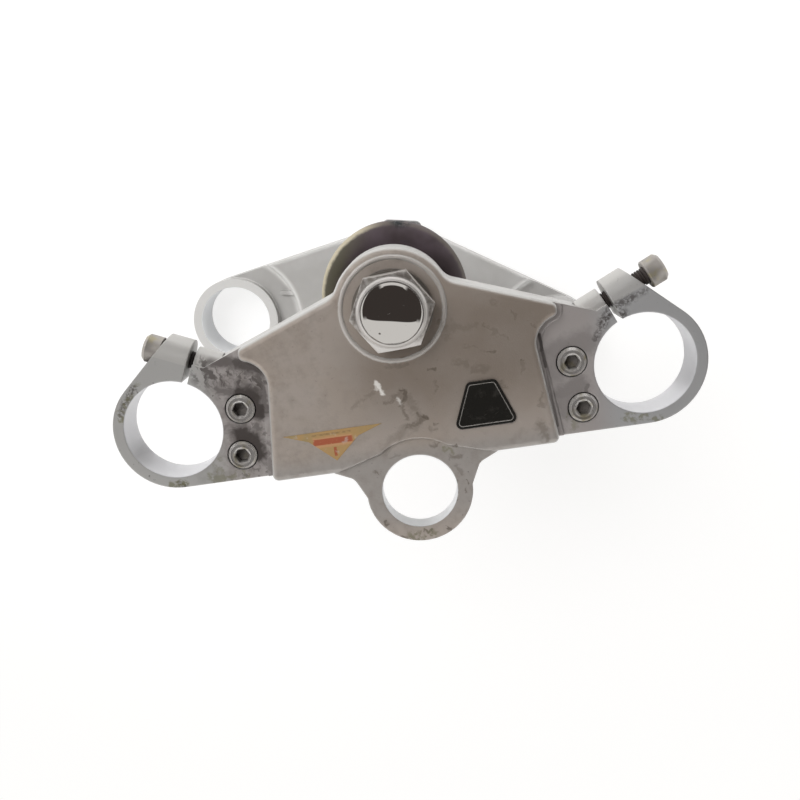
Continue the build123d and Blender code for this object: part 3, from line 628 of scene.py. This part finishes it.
    # Olive dirt, and dark specks all over, thickest on the rings
    olive = smear.marks(olive_spots) * at.noise(0.0024, 4.0).step(0.40, 0.56) * top
    colour = olive.blend(colour, olive_dirt)
    ring = at.around(-fork_half, -fork_offset).step(0.0290, 0.0255) | at.axis("Y").step(-0.064, -0.072)
    speck = at.noise(0.0017, 3.0, 0.6).step(0.66, 0.72) * (0.18 + 0.45 * ring)
    colour = speck.blend(colour, road_dirt_and_shade)

    # Chips through the paint
    chip = plan.sway(1.8, 1.6).marks(paint_chips, 0.15) * top
    colour = chip.blend(colour, chip_white)

    # Machined bores, bare and bright, and the lock ring's wall painted brighter still as a painted highlight
    bare = bore_mask(at)
    colour = bare.blend(colour, bare_metal)
    lock_wall = at.around(0, -lock_reach).step(lock_r + 3 * bore_edge, lock_r + bore_edge)
    colour = lock_wall.blend(colour, lit_bare_metal)
    dull = grime_and_shade | speck | stain_and_shadow | olive | chip
    return {
        "Base Color": colour,
        "Metallic": (1 - dull) * 0.45,
        "Roughness": 0.40 + 0.25 * dull + 0.12 * (cloud - 0.5) - 0.08 * bare,
        "Normal": relief(here, fine + grain * 0.6, 0.00006, soft),
    }


dress(finish("upper_yoke_paint", upper_yoke_finish), "upper_yoke")

# Socket cap screws: zinc-plated M8 steel with knurled heads. Two pinch the upper clamps, the left-hand one
# backed out, four pinch the lower clamps, and four in the clamp plates hold the handlebars from above.
screw_r = 0.0039
screw_l = 0.030
thread_pitch = 0.00125
thread_depth = 0.00065
head_r = 0.0065
head_h = 0.008
head_foot = 0.0004
head_edge = 0.0013
head_dip = 0.0003
knurl_depth = 0.00014
socket_af = 0.006
socket_depth = 0.0045
socket_lip = 0.0038
screw_sides = 72
clamp_mid = 0.21225
pinch_offset = 0.0315
lower_pinch = np.radians(45.0)
upper_seat = 0.0145
backed_out = 0.006
lower_seat = 0.014
lower_levels = (0.0085, 0.0215)
bar_screw_rear = (0.0745, 0.0351)
bar_screw_pitch = 0.0216
bar_screw_lean = np.radians(8.0)
bar_seat = clamp_top - 0.0065
shank_dirt = (0.0046, 0.0042)
dip_dirt_and_shade = (0.0041, 0.0043, 0.0052, 0.0056)
socket_dirt_and_shade = (0.0037, 0.0034)

zinc_grey = (0.66, 0.638, 0.615, 1)
zinc_dull = (0.40, 0.375, 0.35, 1)
zinc_yellow = (0.42, 0.38, 0.27, 1)
rust_brown = (0.16, 0.095, 0.055, 1)


def lathe_mesh(name, bodies):
    """One mesh of closed bodies, each a stack of rings of points with a pole at the middle of each end."""
    points, faces, first = [], [], 0
    for rings in bodies:
        stack, count = rings.shape[:2]
        ends = np.stack([rings[0].mean(0), rings[-1].mean(0)])
        points.append(np.concatenate([rings.reshape(-1, 3), ends]))
        here = np.arange(count)
        after = np.roll(here, -1)
        row = count * np.arange(stack - 1)[:, None]
        above = row + count
        walls = np.stack([row + here, row + after, above + after, above + here], -1).reshape(-1, 4)
        low = np.stack([np.full(count, stack * count), after, here], -1)
        top = count * (stack - 1)
        high = np.stack([np.full(count, stack * count + 1), top + here, top + after], -1)
        faces += [(walls + first).tolist(), (low + first).tolist(), (high + first).tolist()]
        first += stack * count + 2
    mesh = bpy.data.meshes.new(name)
    mesh.from_pydata(np.concatenate(points), [], [f for group in faces for f in group])
    mesh.shade_smooth()
    mesh.set_sharp_from_angle(angle=np.radians(38))
    made = bpy.data.objects.new(name, mesh)
    bpy.context.scene.collection.objects.link(made)
    return made


def hexagon(angle, across):
    """Radius of a hexagon of that width across its flats, at an angle from a corner."""
    return across / 2 / np.cos((angle % (np.pi / 3)) - np.pi / 6)


def cap_screw():
    """Rings of one screw, head up and seat at 0: a thread whose radius falls in a triangle wave along a
    helix, then a knurled head whose radius waves round it, then a hexagon socket down to its floor."""
    angle = np.linspace(0, 2 * np.pi, screw_sides, endpoint=False)
    level = np.arange(-screw_l, -thread_pitch, thread_pitch / 7)
    wave = (level[:, None] / thread_pitch - angle / (2 * np.pi)) % 1
    tip = np.clip((level + screw_l) / thread_pitch, 0.25, 1)[:, None]
    thread = (screw_r - thread_depth * np.clip(2.4 * abs(2 * wave - 1) - 0.9, 0, 1)) * (0.82 + 0.18 * tip)
    knurl = head_r - knurl_depth * (np.arange(screw_sides) % 2)
    round_ring = np.ones(screw_sides)
    shoulder = head_h - 1.08 * head_edge
    socket = hexagon(angle, socket_af)
    head = (
        (round_ring * screw_r, -thread_pitch),
        (round_ring * screw_r, 0),
        (round_ring * (head_r - head_foot), 0),
        (round_ring * head_r, head_foot),
        (round_ring * head_r, 3 * head_foot),
        (knurl, 0.0013),
        (knurl, shoulder - 0.0003),
        (round_ring * head_r, shoulder - 0.0002),
        (round_ring * head_r, shoulder),
        (round_ring * (head_r - 0.94 * head_edge), head_h - 0.06 * head_edge),
        (round_ring * (head_r - head_edge), head_h - 0.06 * head_edge),
        (round_ring * (head_r - head_edge - 0.0002), head_h - head_dip),
        (round_ring * (socket_lip + 0.0005), head_h - head_dip),
        (round_ring * (socket_lip + 0.0002), head_h),
        (round_ring * socket_lip, head_h),
        (socket, head_h - 0.0004),
        (socket, head_h - socket_depth),
        (socket * 0.3, head_h - socket_depth - 0.0006),
    )
    radius = np.concatenate([thread, np.stack([ring for ring, _ in head])])
    height = np.concatenate([level, [z for _, z in head]])
    across = np.stack([radius * np.cos(angle), radius * np.sin(angle)], -1)
    return np.concatenate([across, np.broadcast_to(height[:, None, None], (*radius.shape, 1))], -1)


def turned(points):
    """Points or vectors of the upper yoke's own axes in the row's, turned about the stem."""
    cos, sin = np.cos(upper_turn), np.sin(upper_turn)
    return np.asarray(points) @ np.array([(cos, sin, 0), (-sin, cos, 0), (0, 0, 1)])


def stood(rings, place, up, ahead):
    """Rings drawn about Z, carried to a place with Z along up and X along ahead."""
    axes = np.stack([ahead, np.cross(up, ahead), up])
    return rings @ axes + place


def pinch_seat(side, rear, lean, seat, level):
    """Place and direction of a pinch screw: out along the slit, then along the screw to its head's seat."""
    out = np.array([-np.sin(lean), rear * np.cos(lean)])
    along = np.array([np.cos(lean), rear * np.sin(lean)])
    x, y = pinch_offset * out + seat * along
    return (side * (fork_half + x), y - fork_offset, level), (side * along[0], along[1], 0)


one_screw = cap_screw()
upright = np.array([0.0, 0.0, 1.0])
upper_pinch_set, shanks = [], []
for side, seat in ((-1, upper_seat), (1, upper_seat + backed_out)):
    place, along = pinch_seat(side, 1, lug_lean, seat, clamp_mid)
    place, along = turned(place), turned(along)
    upper_pinch_set.append(stood(one_screw, place, along, upright))
    shanks.append((*place[:2], *(place - screw_l * along)[:2]))
lower_pinch_set = []
for side in (-1, 1):
    for level in lower_levels:
        place, along = pinch_seat(side, -1, lower_pinch, lower_seat, level)
        lower_pinch_set.append(stood(one_screw, np.array(place), np.array(along), upright))
bar_set, bar_axes = [], []
for side in (-1, 1):
    for row in (0, 1):
        x = bar_screw_rear[0] + row * bar_screw_pitch * np.sin(bar_screw_lean)
        y = bar_screw_rear[1] + row * bar_screw_pitch * np.cos(bar_screw_lean)
        place = turned((side * x, -y, bar_seat))
        bar_set.append(stood(one_screw, place, upright, turned((1, 0, 0))))
        bar_axes.append(place[:2])


def screw_finish(here):
    """Dull zinc with yellowed patches, soiling and painted shade in the knurl, the thread, the head's dip and
    the socket, and a trace of rust.
    """
    soft, edge = rounded(here, 0.00012)
    cloud = here.noise(0.006)
    grain = here.noise(0.0012, 4.0)
    above = here.axis("Z").step(clamp_top - 0.002, clamp_top - 0.001)
    colour = cloud.step(0.5, 0.7).blend(above.blend(zinc_dull, zinc_grey), zinc_yellow)
    colour = (edge * 0.5).blend(colour, bare_metal)
    # Hollows darkened: dirt and painted shade
    dirt_and_shade = hollow_dirt_and_shade(here, 0.004).step(0.30, 0.62) * (0.70 + 0.30 * grain.step(0.3, 0.5))
    at_shank = here.make("VectorMath", {0: here, 1: (0, 0, clamp_mid)}, operation="SUBTRACT")
    for shank in shanks:
        dirt_and_shade = dirt_and_shade | at_shank.near(*shank).step(*shank_dirt)
    inside = here.axis("Z").step(bar_seat + 0.001, bar_seat + 0.002)
    for x, y in bar_axes:
        out = here.around(x, y)
        # The dip round the socket and the socket itself darkened: dirt and painted shade
        dirt_and_shade = dirt_and_shade | out.band(*dip_dirt_and_shade) * above * 0.72
        dirt_and_shade = dirt_and_shade | out.step(*socket_dirt_and_shade) * inside * 0.62
    colour = dirt_and_shade.blend(colour, road_dirt_and_shade)
    rust = grain.step(0.66, 0.74) * 0.5
    colour = rust.blend(colour, rust_brown)
    return {
        "Base Color": colour,
        "Metallic": (0.55 + 0.2 * above) * (1 - (dirt_and_shade | rust)),
        "Roughness": 0.44 - 0.16 * above + 0.2 * dirt_and_shade + 0.16 * (cloud - 0.5),
        "Normal": relief(here, grain, 0.00003, soft),
    }


screw_zinc = finish("screw_zinc", screw_finish)
for name, node, body, screws in (
    ("upper_pinch_screw_set", "upper_pinch_screws", "upper_yoke_set", upper_pinch_set),
    ("handlebar_screw_set", "handlebar_screws", "upper_yoke_set", bar_set),
    ("lower_pinch_screw_set", "lower_pinch_screws", "stem_assembly", lower_pinch_set),
):
    piece = lathe_mesh(name, screws)
    piece.data.materials.append(screw_zinc)
    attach(piece, body)
    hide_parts(node)

# Badge plate: a small black trapezium stuck to the panel, blank, with a thin raised silver line inside its
# edge. Its gloss is scratched and dusty.
badge_x = 0.0336
badge_rear = 0.0363
badge_front = 0.0570
badge_rear_half = 0.0064
badge_front_half = 0.0145
badge_top = 0.2283
border_inset = 0.0013
border_corner = 0.0015
border_half = 0.0002
border_h = 0.00014
border_tuck = 0.4
border_steps = 13
silver_front = (-0.0553, -0.0535)
badge_black = (0.012, 0.0115, 0.010, 1)
badge_dust = (0.07, 0.064, 0.058, 1)
border_silver = (0.50, 0.48, 0.455, 1)
border_worn = (0.10, 0.09, 0.08, 1)


def badge_finish(here):
    """Gloss black with hairline scratches and grey dust towards the edges."""
    soft, edge = rounded(here, 0.0004)
    hair = here.stretch((40, 3, 1), (0, 0, 0.9)).noise(0.02, 2.0).step(0.70, 0.76)
    dust = here.noise(0.006, 5.0).step(0.52, 0.8) * 0.4
    colour = (dust | edge * 0.5).blend(badge_black, badge_dust)
    return {
        "Base Color": (hair * 0.3).blend(colour, badge_dust),
        "Roughness": 0.14 + 0.25 * dust + 0.2 * hair,
        "Normal": soft,
    }


def border_finish(here):
    """Silver line, tarnished in places and all along but its front."""
    at = here.make("Mapping", {"Vector": here, "Rotation": (0, 0, -upper_turn)})
    worn = here.noise(0.004, 4.0).step(0.5, 0.66) | at.axis("Y").step(*silver_front) * 0.7
    return {
        "Base Color": (worn * 0.8).blend(border_silver, border_worn),
        "Metallic": 0.9 - 0.5 * worn,
        "Roughness": 0.30 + 0.3 * worn,
        "Normal": relief(here, worn, 0.00002),
    }


def border_loop():
    """Half-round strip along the badge's outline: about each corner's centre, set in from both its sides, the
    strip is an arc whose radius and height follow a half circle across its width."""
    corners = np.array(
        [
            (badge_x - badge_front_half, -badge_front),
            (badge_x + badge_front_half, -badge_front),
            (badge_x + badge_rear_half, -badge_rear),
            (badge_x - badge_rear_half, -badge_rear),
        ]
    )
    side = np.roll(corners, -1, 0) - corners
    side /= np.linalg.norm(side, axis=1)[:, None]
    outward = np.stack([side[:, 1], -side[:, 0]], -1)
    before = np.roll(outward, 1, 0)
    inward = -(outward + before) / (1 + (outward * before).sum(1))[:, None]
    centre = corners + inward * (border_inset + border_corner)
    begin = np.arctan2(before[:, 1], before[:, 0])
    sweep = (np.arctan2(outward[:, 1], outward[:, 0]) - begin) % (2 * np.pi)
    angle = begin[:, None] + sweep[:, None] * np.linspace(0, 1, border_steps)
    arm = np.stack([np.cos(angle), np.sin(angle)], -1)
    across = np.linspace(np.pi + border_tuck, -border_tuck, border_steps)
    radius = border_corner + border_half * np.cos(across)
    flat = centre[:, None, None] + arm[:, :, None] * radius[None, None, :, None]
    flat = flat.reshape(-1, border_steps, 2)
    height = np.broadcast_to(badge_top + border_h * np.sin(across), flat.shape[:2])
    return turned(np.concatenate([flat, height[..., None]], -1))


strip = border_loop()
count, wide = strip.shape[:2]
cell = np.arange(count * wide).reshape(count, wide)
loop = np.roll(cell, -1, 0)
quads = np.stack([cell, np.roll(cell, -1, 1), np.roll(loop, -1, 1), loop], -1).reshape(-1, 4)
border_mesh = bpy.data.meshes.new("badge_border")
border_mesh.from_pydata(strip.reshape(-1, 3), [], quads.tolist())
border_mesh.shade_smooth()
border_mesh.materials.append(finish("badge_border", border_finish))
border = bpy.data.objects.new("badge_border", border_mesh)
bpy.context.scene.collection.objects.link(border)
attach(border, "upper_yoke_set")
dress(finish("badge_black", badge_finish), "badge_plate")

# Sticker: a winged triangle of film, faded to tan and olive at its wings, with plain orange-red bars across
# its middle and one down its point. Its edges have worn thin.
sticker_x = -0.0345
sticker_rear = -0.0492
bar_width = (-0.0098, -0.0088, 0.0078, 0.0088)
field_depth = (0.0022, 0.0030, 0.0068, 0.0078)
bar_depth = (0.0032, 0.0036, 0.0060, 0.0064)
thin_depth = (0.0009, 0.0011, 0.0017, 0.0019)
point_width = (-0.0008, -0.0005, 0.0005, 0.0008)
point_depth = (0.0076, 0.0080, 0.0117, 0.0122)
wing_left = (0.007, 0.019)
wing_right = (-0.005, -0.015)
film_tan = (0.37, 0.235, 0.100, 1)
film_olive = (0.285, 0.215, 0.102, 1)
film_peach = (0.47, 0.255, 0.130, 1)
film_red = (0.32, 0.074, 0.035, 1)
film_brown = (0.20, 0.135, 0.065, 1)


def sticker_finish(here):
    """Tan film with olive wings, a peach field, a red bar, a thin brown bar, a short one below, scuffed."""
    at = here.make("Mapping", {"Vector": here, "Rotation": (0, 0, -upper_turn)})
    side = at.axis("X") - sticker_x
    down = sticker_rear - at.axis("Y")
    grain = at.noise(0.0015, 4.0)
    blur = (grain - 0.5) * 0.0012
    wing = side.step(*wing_left) | side.step(*wing_right)
    colour = (wing * at.noise(0.006).step(0.3, 0.6)).blend(film_tan, film_olive)
    wide = (side + blur).band(*bar_width)
    field = wide * (down + blur).band(*field_depth)
    colour = (field * 0.8).blend(colour, film_peach)
    bar = wide * down.band(*bar_depth)
    thin = wide * down.band(*thin_depth)
    point = (side - blur).band(*point_width) * down.band(*point_depth)
    colour = (thin * grain.step(0.40, 0.55) * 0.7).blend(colour, film_brown)
    colour = ((bar | point) * grain.step(0.28, 0.42) * 0.92).blend(colour, film_red)
    rubbed = at.noise(0.004, 5.0).step(0.62, 0.70) * 0.5
    colour = rubbed.blend(colour, paint_warm)
    return {"Base Color": colour, "Roughness": 0.42 + 0.2 * grain, "Normal": relief(here, grain, 0.00004)}


dress(finish("sticker_film", sticker_finish), "panel_sticker")

# Stem nut and washer: a chromed hexagon nut with a turned cone and a polished dome, on a dull plain washer.
# The dome is a mirror with a pit or two, the flats and the cone show fine turning lines.
nut_af = 0.032
nut_low, nut_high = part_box("stem_nut")
nut_h = 0.009
nut_crown = 0.0153
cone_r = 0.0150
cone_top_r = 0.0135
cone_h = 0.0016
dome_r = 0.0129
dome_foot = 0.0006
nut_edge = 0.00012
nut_foot = 0.0003
nut_bore_r = 0.0101
nut_sides = 360
dome_pit = (-0.0045, -0.0082, 0.2432)
chrome = (0.53, 0.51, 0.485, 1)
# Dark of pits, also the painted shade of the nut's hollows
chrome_pit_and_shade = (0.07, 0.06, 0.05, 1)
nut_grey = (0.62, 0.595, 0.57, 1)
# Brown film of the hexagon, also its painted shade
nut_film_and_shade = (0.25, 0.226, 0.205, 1)
washer_grey = (0.28, 0.26, 0.235, 1)


def dome_nut():
    """Rings of the nut: a hexagon whose upper edge follows a 30 degree cone, so the edge dips at each corner
    by the corner's excess radius times the cone's slope, then a cone, a groove and an arc of one sphere."""
    cad_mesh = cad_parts["stem_nut"].data
    points = np.empty(3 * len(cad_mesh.vertices))
    cad_mesh.vertices.foreach_get("co", points)
    points = points.reshape(-1, 3)
    foot = points[points[:, 2] < nut_low.z + 1e-6]
    corner = foot[np.hypot(foot[:, 0], foot[:, 1]).argmax()]
    angle = np.arctan2(corner[1], corner[0]) + np.linspace(0, 2 * np.pi, nut_sides, endpoint=False)
    flats = hexagon(angle - angle[0], nut_af)
    cut = nut_h - np.maximum(flats - nut_crown, 0) * np.tan(np.radians(30))
    cone_top = nut_h + cone_h
    dome_h = nut_high.z - nut_low.z - cone_top - dome_foot
    ball = (dome_r**2 + dome_h**2) / (2 * dome_h)
    bend = np.linspace(np.arcsin(dome_r / ball), 0.02, 32)
    plain = np.ones(nut_sides)
    rings = [
        (plain * nut_bore_r, plain * 0),
        (flats - nut_foot, plain * 0),
        (flats, plain * nut_foot),
        (flats, cut - nut_edge),
        (flats - nut_edge, cut + 0.3 * nut_edge),
        (plain * nut_crown, plain * nut_h),
        (plain * cone_r, plain * nut_h),
        (plain * (cone_r - 0.0001), plain * (nut_h + 0.0002)),
        (plain * (cone_top_r + 0.0001), plain * (cone_top - 0.0001)),
        (plain * (cone_top_r - 0.0001), plain * cone_top),
        (plain * (dome_r + 0.0002), plain * (cone_top - 0.0002)),
        (plain * dome_r, plain * (cone_top + 0.0001)),
    ]
    base = cone_top + dome_foot + dome_h - ball
    rings += [(plain * ball * np.sin(b), plain * (base + ball * np.cos(b))) for b in bend]
    radius, level = np.array(rings).swapaxes(0, 1)
    return np.stack([radius * np.cos(angle), radius * np.sin(angle), nut_low.z + level], -1)


def chrome_finish(here):
    """Mirror chrome on the dome, turning lines outside it where the roughness is more, a dull brown film on
    the hexagon, heavier on the faces that look up and partly painted shade, rubbed off in front and along its
    edges, dark pits, and hollows darkened as painted shade."""
    soft, edge = rounded(here, 0.0002)
    out = here.around(0, 0)
    worked = out.step(dome_r + 0.0001, dome_r + 0.0004)
    pit = here.noise(0.0011, 2.0).step(0.74, 0.78) * 0.8
    pit = pit | here.apart(dome_pit).step(0.0006, 0.0004)
    lines = out.make("Math", {0: out * 9000}, operation="SINE")
    # Hollows darkened: dirt and painted shade
    dirt_and_shade = hollow_dirt_and_shade(here, 0.0015).step(0.5, 0.95) * 0.6
    # Brown film on the hexagon, partly painted shade: kept off the front and heavier on the faces that look
    # up
    film = out.step(cone_r + 0.0001, cone_r + 0.0005) * here.axis("Y").step(-0.0135, -0.0080)
    film = film * (0.45 + 0.55 * here.noise(0.0024, 4.0).step(0.35, 0.65)) * (1 - 0.85 * edge)
    film = film * (0.35 + 0.65 * here.upward(0.30, 0.75))
    colour = film.blend(worked.blend(chrome, nut_grey), nut_film_and_shade)
    return {
        "Base Color": (pit | dirt_and_shade).blend(colour, chrome_pit_and_shade),
        "Metallic": (1 - 0.35 * worked) * (1 - 0.7 * (pit | dirt_and_shade)),
        "Roughness": 0.035 + 0.30 * worked + 0.3 * pit + 0.2 * dirt_and_shade,
        "Normal": relief(here, lines * worked, 0.000012, soft),
    }


def washer_finish(here):
    """Dull plated steel turned in fine rings, brown soiling towards its edge, and hollows darkened as soiling
    and painted shade.
    """
    soft, edge = rounded(here, 0.0003)
    out = here.around(0, 0)
    lines = out.make("Math", {0: out * 12000}, operation="SINE")
    grain = here.noise(0.003, 4.0)
    # Hollows darkened: dirt and painted shade
    dirt_and_shade = grain.step(0.48, 0.66) * 0.5 | hollow_dirt_and_shade(here, 0.0015).step(0.4, 0.9) * 0.7
    dirt_and_shade = dirt_and_shade | here.axis("X").step(-0.004, -0.016) * 0.45
    colour = (edge * 0.5).blend(washer_grey, bare_metal)
    return {
        "Base Color": dirt_and_shade.blend(colour, brown_stain_and_shade),
        "Metallic": 0.8 - 0.7 * dirt_and_shade,
        "Roughness": 0.40 + 0.2 * dirt_and_shade,
        "Normal": relief(here, lines, 0.00001, soft),
    }


dress(finish("washer_steel", washer_finish), "stem_washer")
nut = lathe_mesh("chrome_stem_nut", [dome_nut()])
nut.data.materials.append(finish("nut_chrome", chrome_finish))
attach(nut, "stem_assembly")
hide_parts("stem_nut")

# Stage: a white floor, a surround that is white low down and ahead of the set and dark above and behind it,
# two dark screens out at the sides that show only in polished metal, soft lamps low at the sides and behind
# and one high up, and a camera looking down the stem.
floor_half = 3.0
floor_drop = 0.0002
floor_white = (0.78, 0.78, 0.78, 1)
floor_shade = (0.3, 0.3, 0.3, 1)
floor_glow = 0.76
shadow_reach = (0.22, 0.50)
screen_front = np.array([1.00, -0.50])
screen_back = np.array([0.40, 0.92])
screen_low, screen_high = 0.245, 0.47
front_fade = (-0.22, -0.46)
back_fade = (0.70, 0.90)
white_height = (0.215, 0.185)
white_lean = 0.45
white_bow = 0.30
surround_white = (1.0, 0.995, 0.985, 1)
room_dark = (0.066, 0.056, 0.052, 1)
camera_place = (0.00606, 0.04999, 0.59489)
camera_turn = np.radians((-13.6886, 0.8417, 2.9991))
camera_lens = 38.729

floor_mesh = bpy.data.meshes.new("floor")
corners = floor_half * np.array([(-1, -1, 0), (1, -1, 0), (1, 1, 0), (-1, 1, 0)])
floor_mesh.from_pydata(corners - (0, 0, floor_drop), [], [(0, 1, 2, 3)])
floor = bpy.data.objects.new("floor", floor_mesh)
bpy.context.scene.collection.objects.link(floor)
floor_paint = bpy.data.materials.new("floor_white")
floor_paint.use_nodes = True
floor_mesh.materials.append(floor_paint)
paper = Wire(floor_paint.node_tree)
matt = paper.make("BsdfDiffuse", {"Color": floor_white})
lit = paper.make("BsdfDiffuse", {"Color": floor_shade})
glow = paper.make("Emission", {"Color": surround_white, "Strength": floor_glow})
near = paper.make("AddShader", {0: lit, 1: glow})
far = paper.make("Emission", {"Color": surround_white, "Strength": 1.0})
reach = paper.make("TexCoord", out="Object").around(0, 0).step(*shadow_reach)
bright = paper.make("MixShader", {0: reach, 1: near, 2: far})
seen = 0
for ray in ("Is Camera Ray", "Is Glossy Ray", "Is Transmission Ray"):
    seen = seen | paper.make("LightPath", out=ray)
sheet = paper.make("MixShader", {0: seen, 1: matt, 2: bright})
out = floor_paint.node_tree.nodes["Material Output"]
floor_paint.node_tree.links.new(sheet.socket, out.inputs["Surface"])

screen_paint = bpy.data.materials.new("screen_dark")
screen_paint.use_nodes = True
length = Wire(screen_paint.node_tree).make("TexCoord", out="Object").axis("Y")
ends = length.step(*front_fade) | length.step(*back_fade)
shade = ends.make("Emission", {"Color": ends.blend(room_dark, surround_white), "Strength": 1.0})
out = screen_paint.node_tree.nodes["Material Output"]
screen_paint.node_tree.links.new(shade.socket, out.inputs["Surface"])
for side, word in ((-1, "right"), (1, "left")):
    board = bpy.data.meshes.new("screen_" + word)
    front, back = screen_front * (side, 1), screen_back * (side, 1)
    low, high = (screen_low,), (screen_high,)
    corners = [(*front, *low), (*back, *low), (*back, *high), (*front, *high)]
    board.from_pydata(corners, [], [(0, 1, 2, 3)])
    board.materials.append(screen_paint)
    screen = bpy.data.objects.new("screen_" + word, board)
    bpy.context.scene.collection.objects.link(screen)
    screen.visible_camera = False
    screen.visible_diffuse = False
    screen.visible_shadow = False

world = bpy.data.worlds.new("surround")
bpy.context.scene.world = world
world.use_nodes = True
way = Wire(world.node_tree).make("TexCoord", out="Generated")
up = way.axis("Z")
across = way.axis("X") * way.axis("X")
ahead = (way.axis("Y") + white_lean * up + white_bow * across).step(0.02, -0.02)
white = ahead | up.step(*white_height)
ground = world.node_tree.nodes["Background"]
world.node_tree.links.new(white.blend(room_dark, surround_white).socket, ground.inputs["Color"])
ground.inputs["Strength"].default_value = 1.0


def lamp(name, place, aim, wide, high, power):
    """A soft lamp of that width and height at a place, turned to face a point and left out of reflections."""
    light = bpy.data.lights.new(name, "AREA")
    light.shape = "RECTANGLE"
    light.size = wide
    light.size_y = high
    light.energy = power
    made = bpy.data.objects.new(name, light)
    bpy.context.scene.collection.objects.link(made)
    made.visible_glossy = False
    made.location = place
    made.rotation_euler = (Vector(place) - Vector(aim)).to_track_quat("Z", "Y").to_euler()


lamp("rear_lamp", (-0.1, 0.75, 0.25), (0, 0, 0.15), 0.8, 0.30, 2.2)
lamp("right_lamp", (-0.75, 0.2, 0.14), (0, 0, 0.10), 0.6, 0.24, 1.4)
lamp("left_lamp", (0.75, 0.1, 0.14), (0, 0, 0.10), 0.6, 0.24, 2.4)
lamp("top_lamp", (-0.7, 0.5, 1.3), (0, 0, 0.2), 0.9, 0.9, 17.0)

view = bpy.data.cameras.new("camera")
view.lens = camera_lens
view.sensor_width = 36.0
eye = bpy.data.objects.new("camera", view)
bpy.context.scene.collection.objects.link(eye)
eye.location = camera_place
eye.rotation_euler = camera_turn
bpy.context.scene.camera = eye
bpy.context.scene.view_settings.view_transform = "Standard"
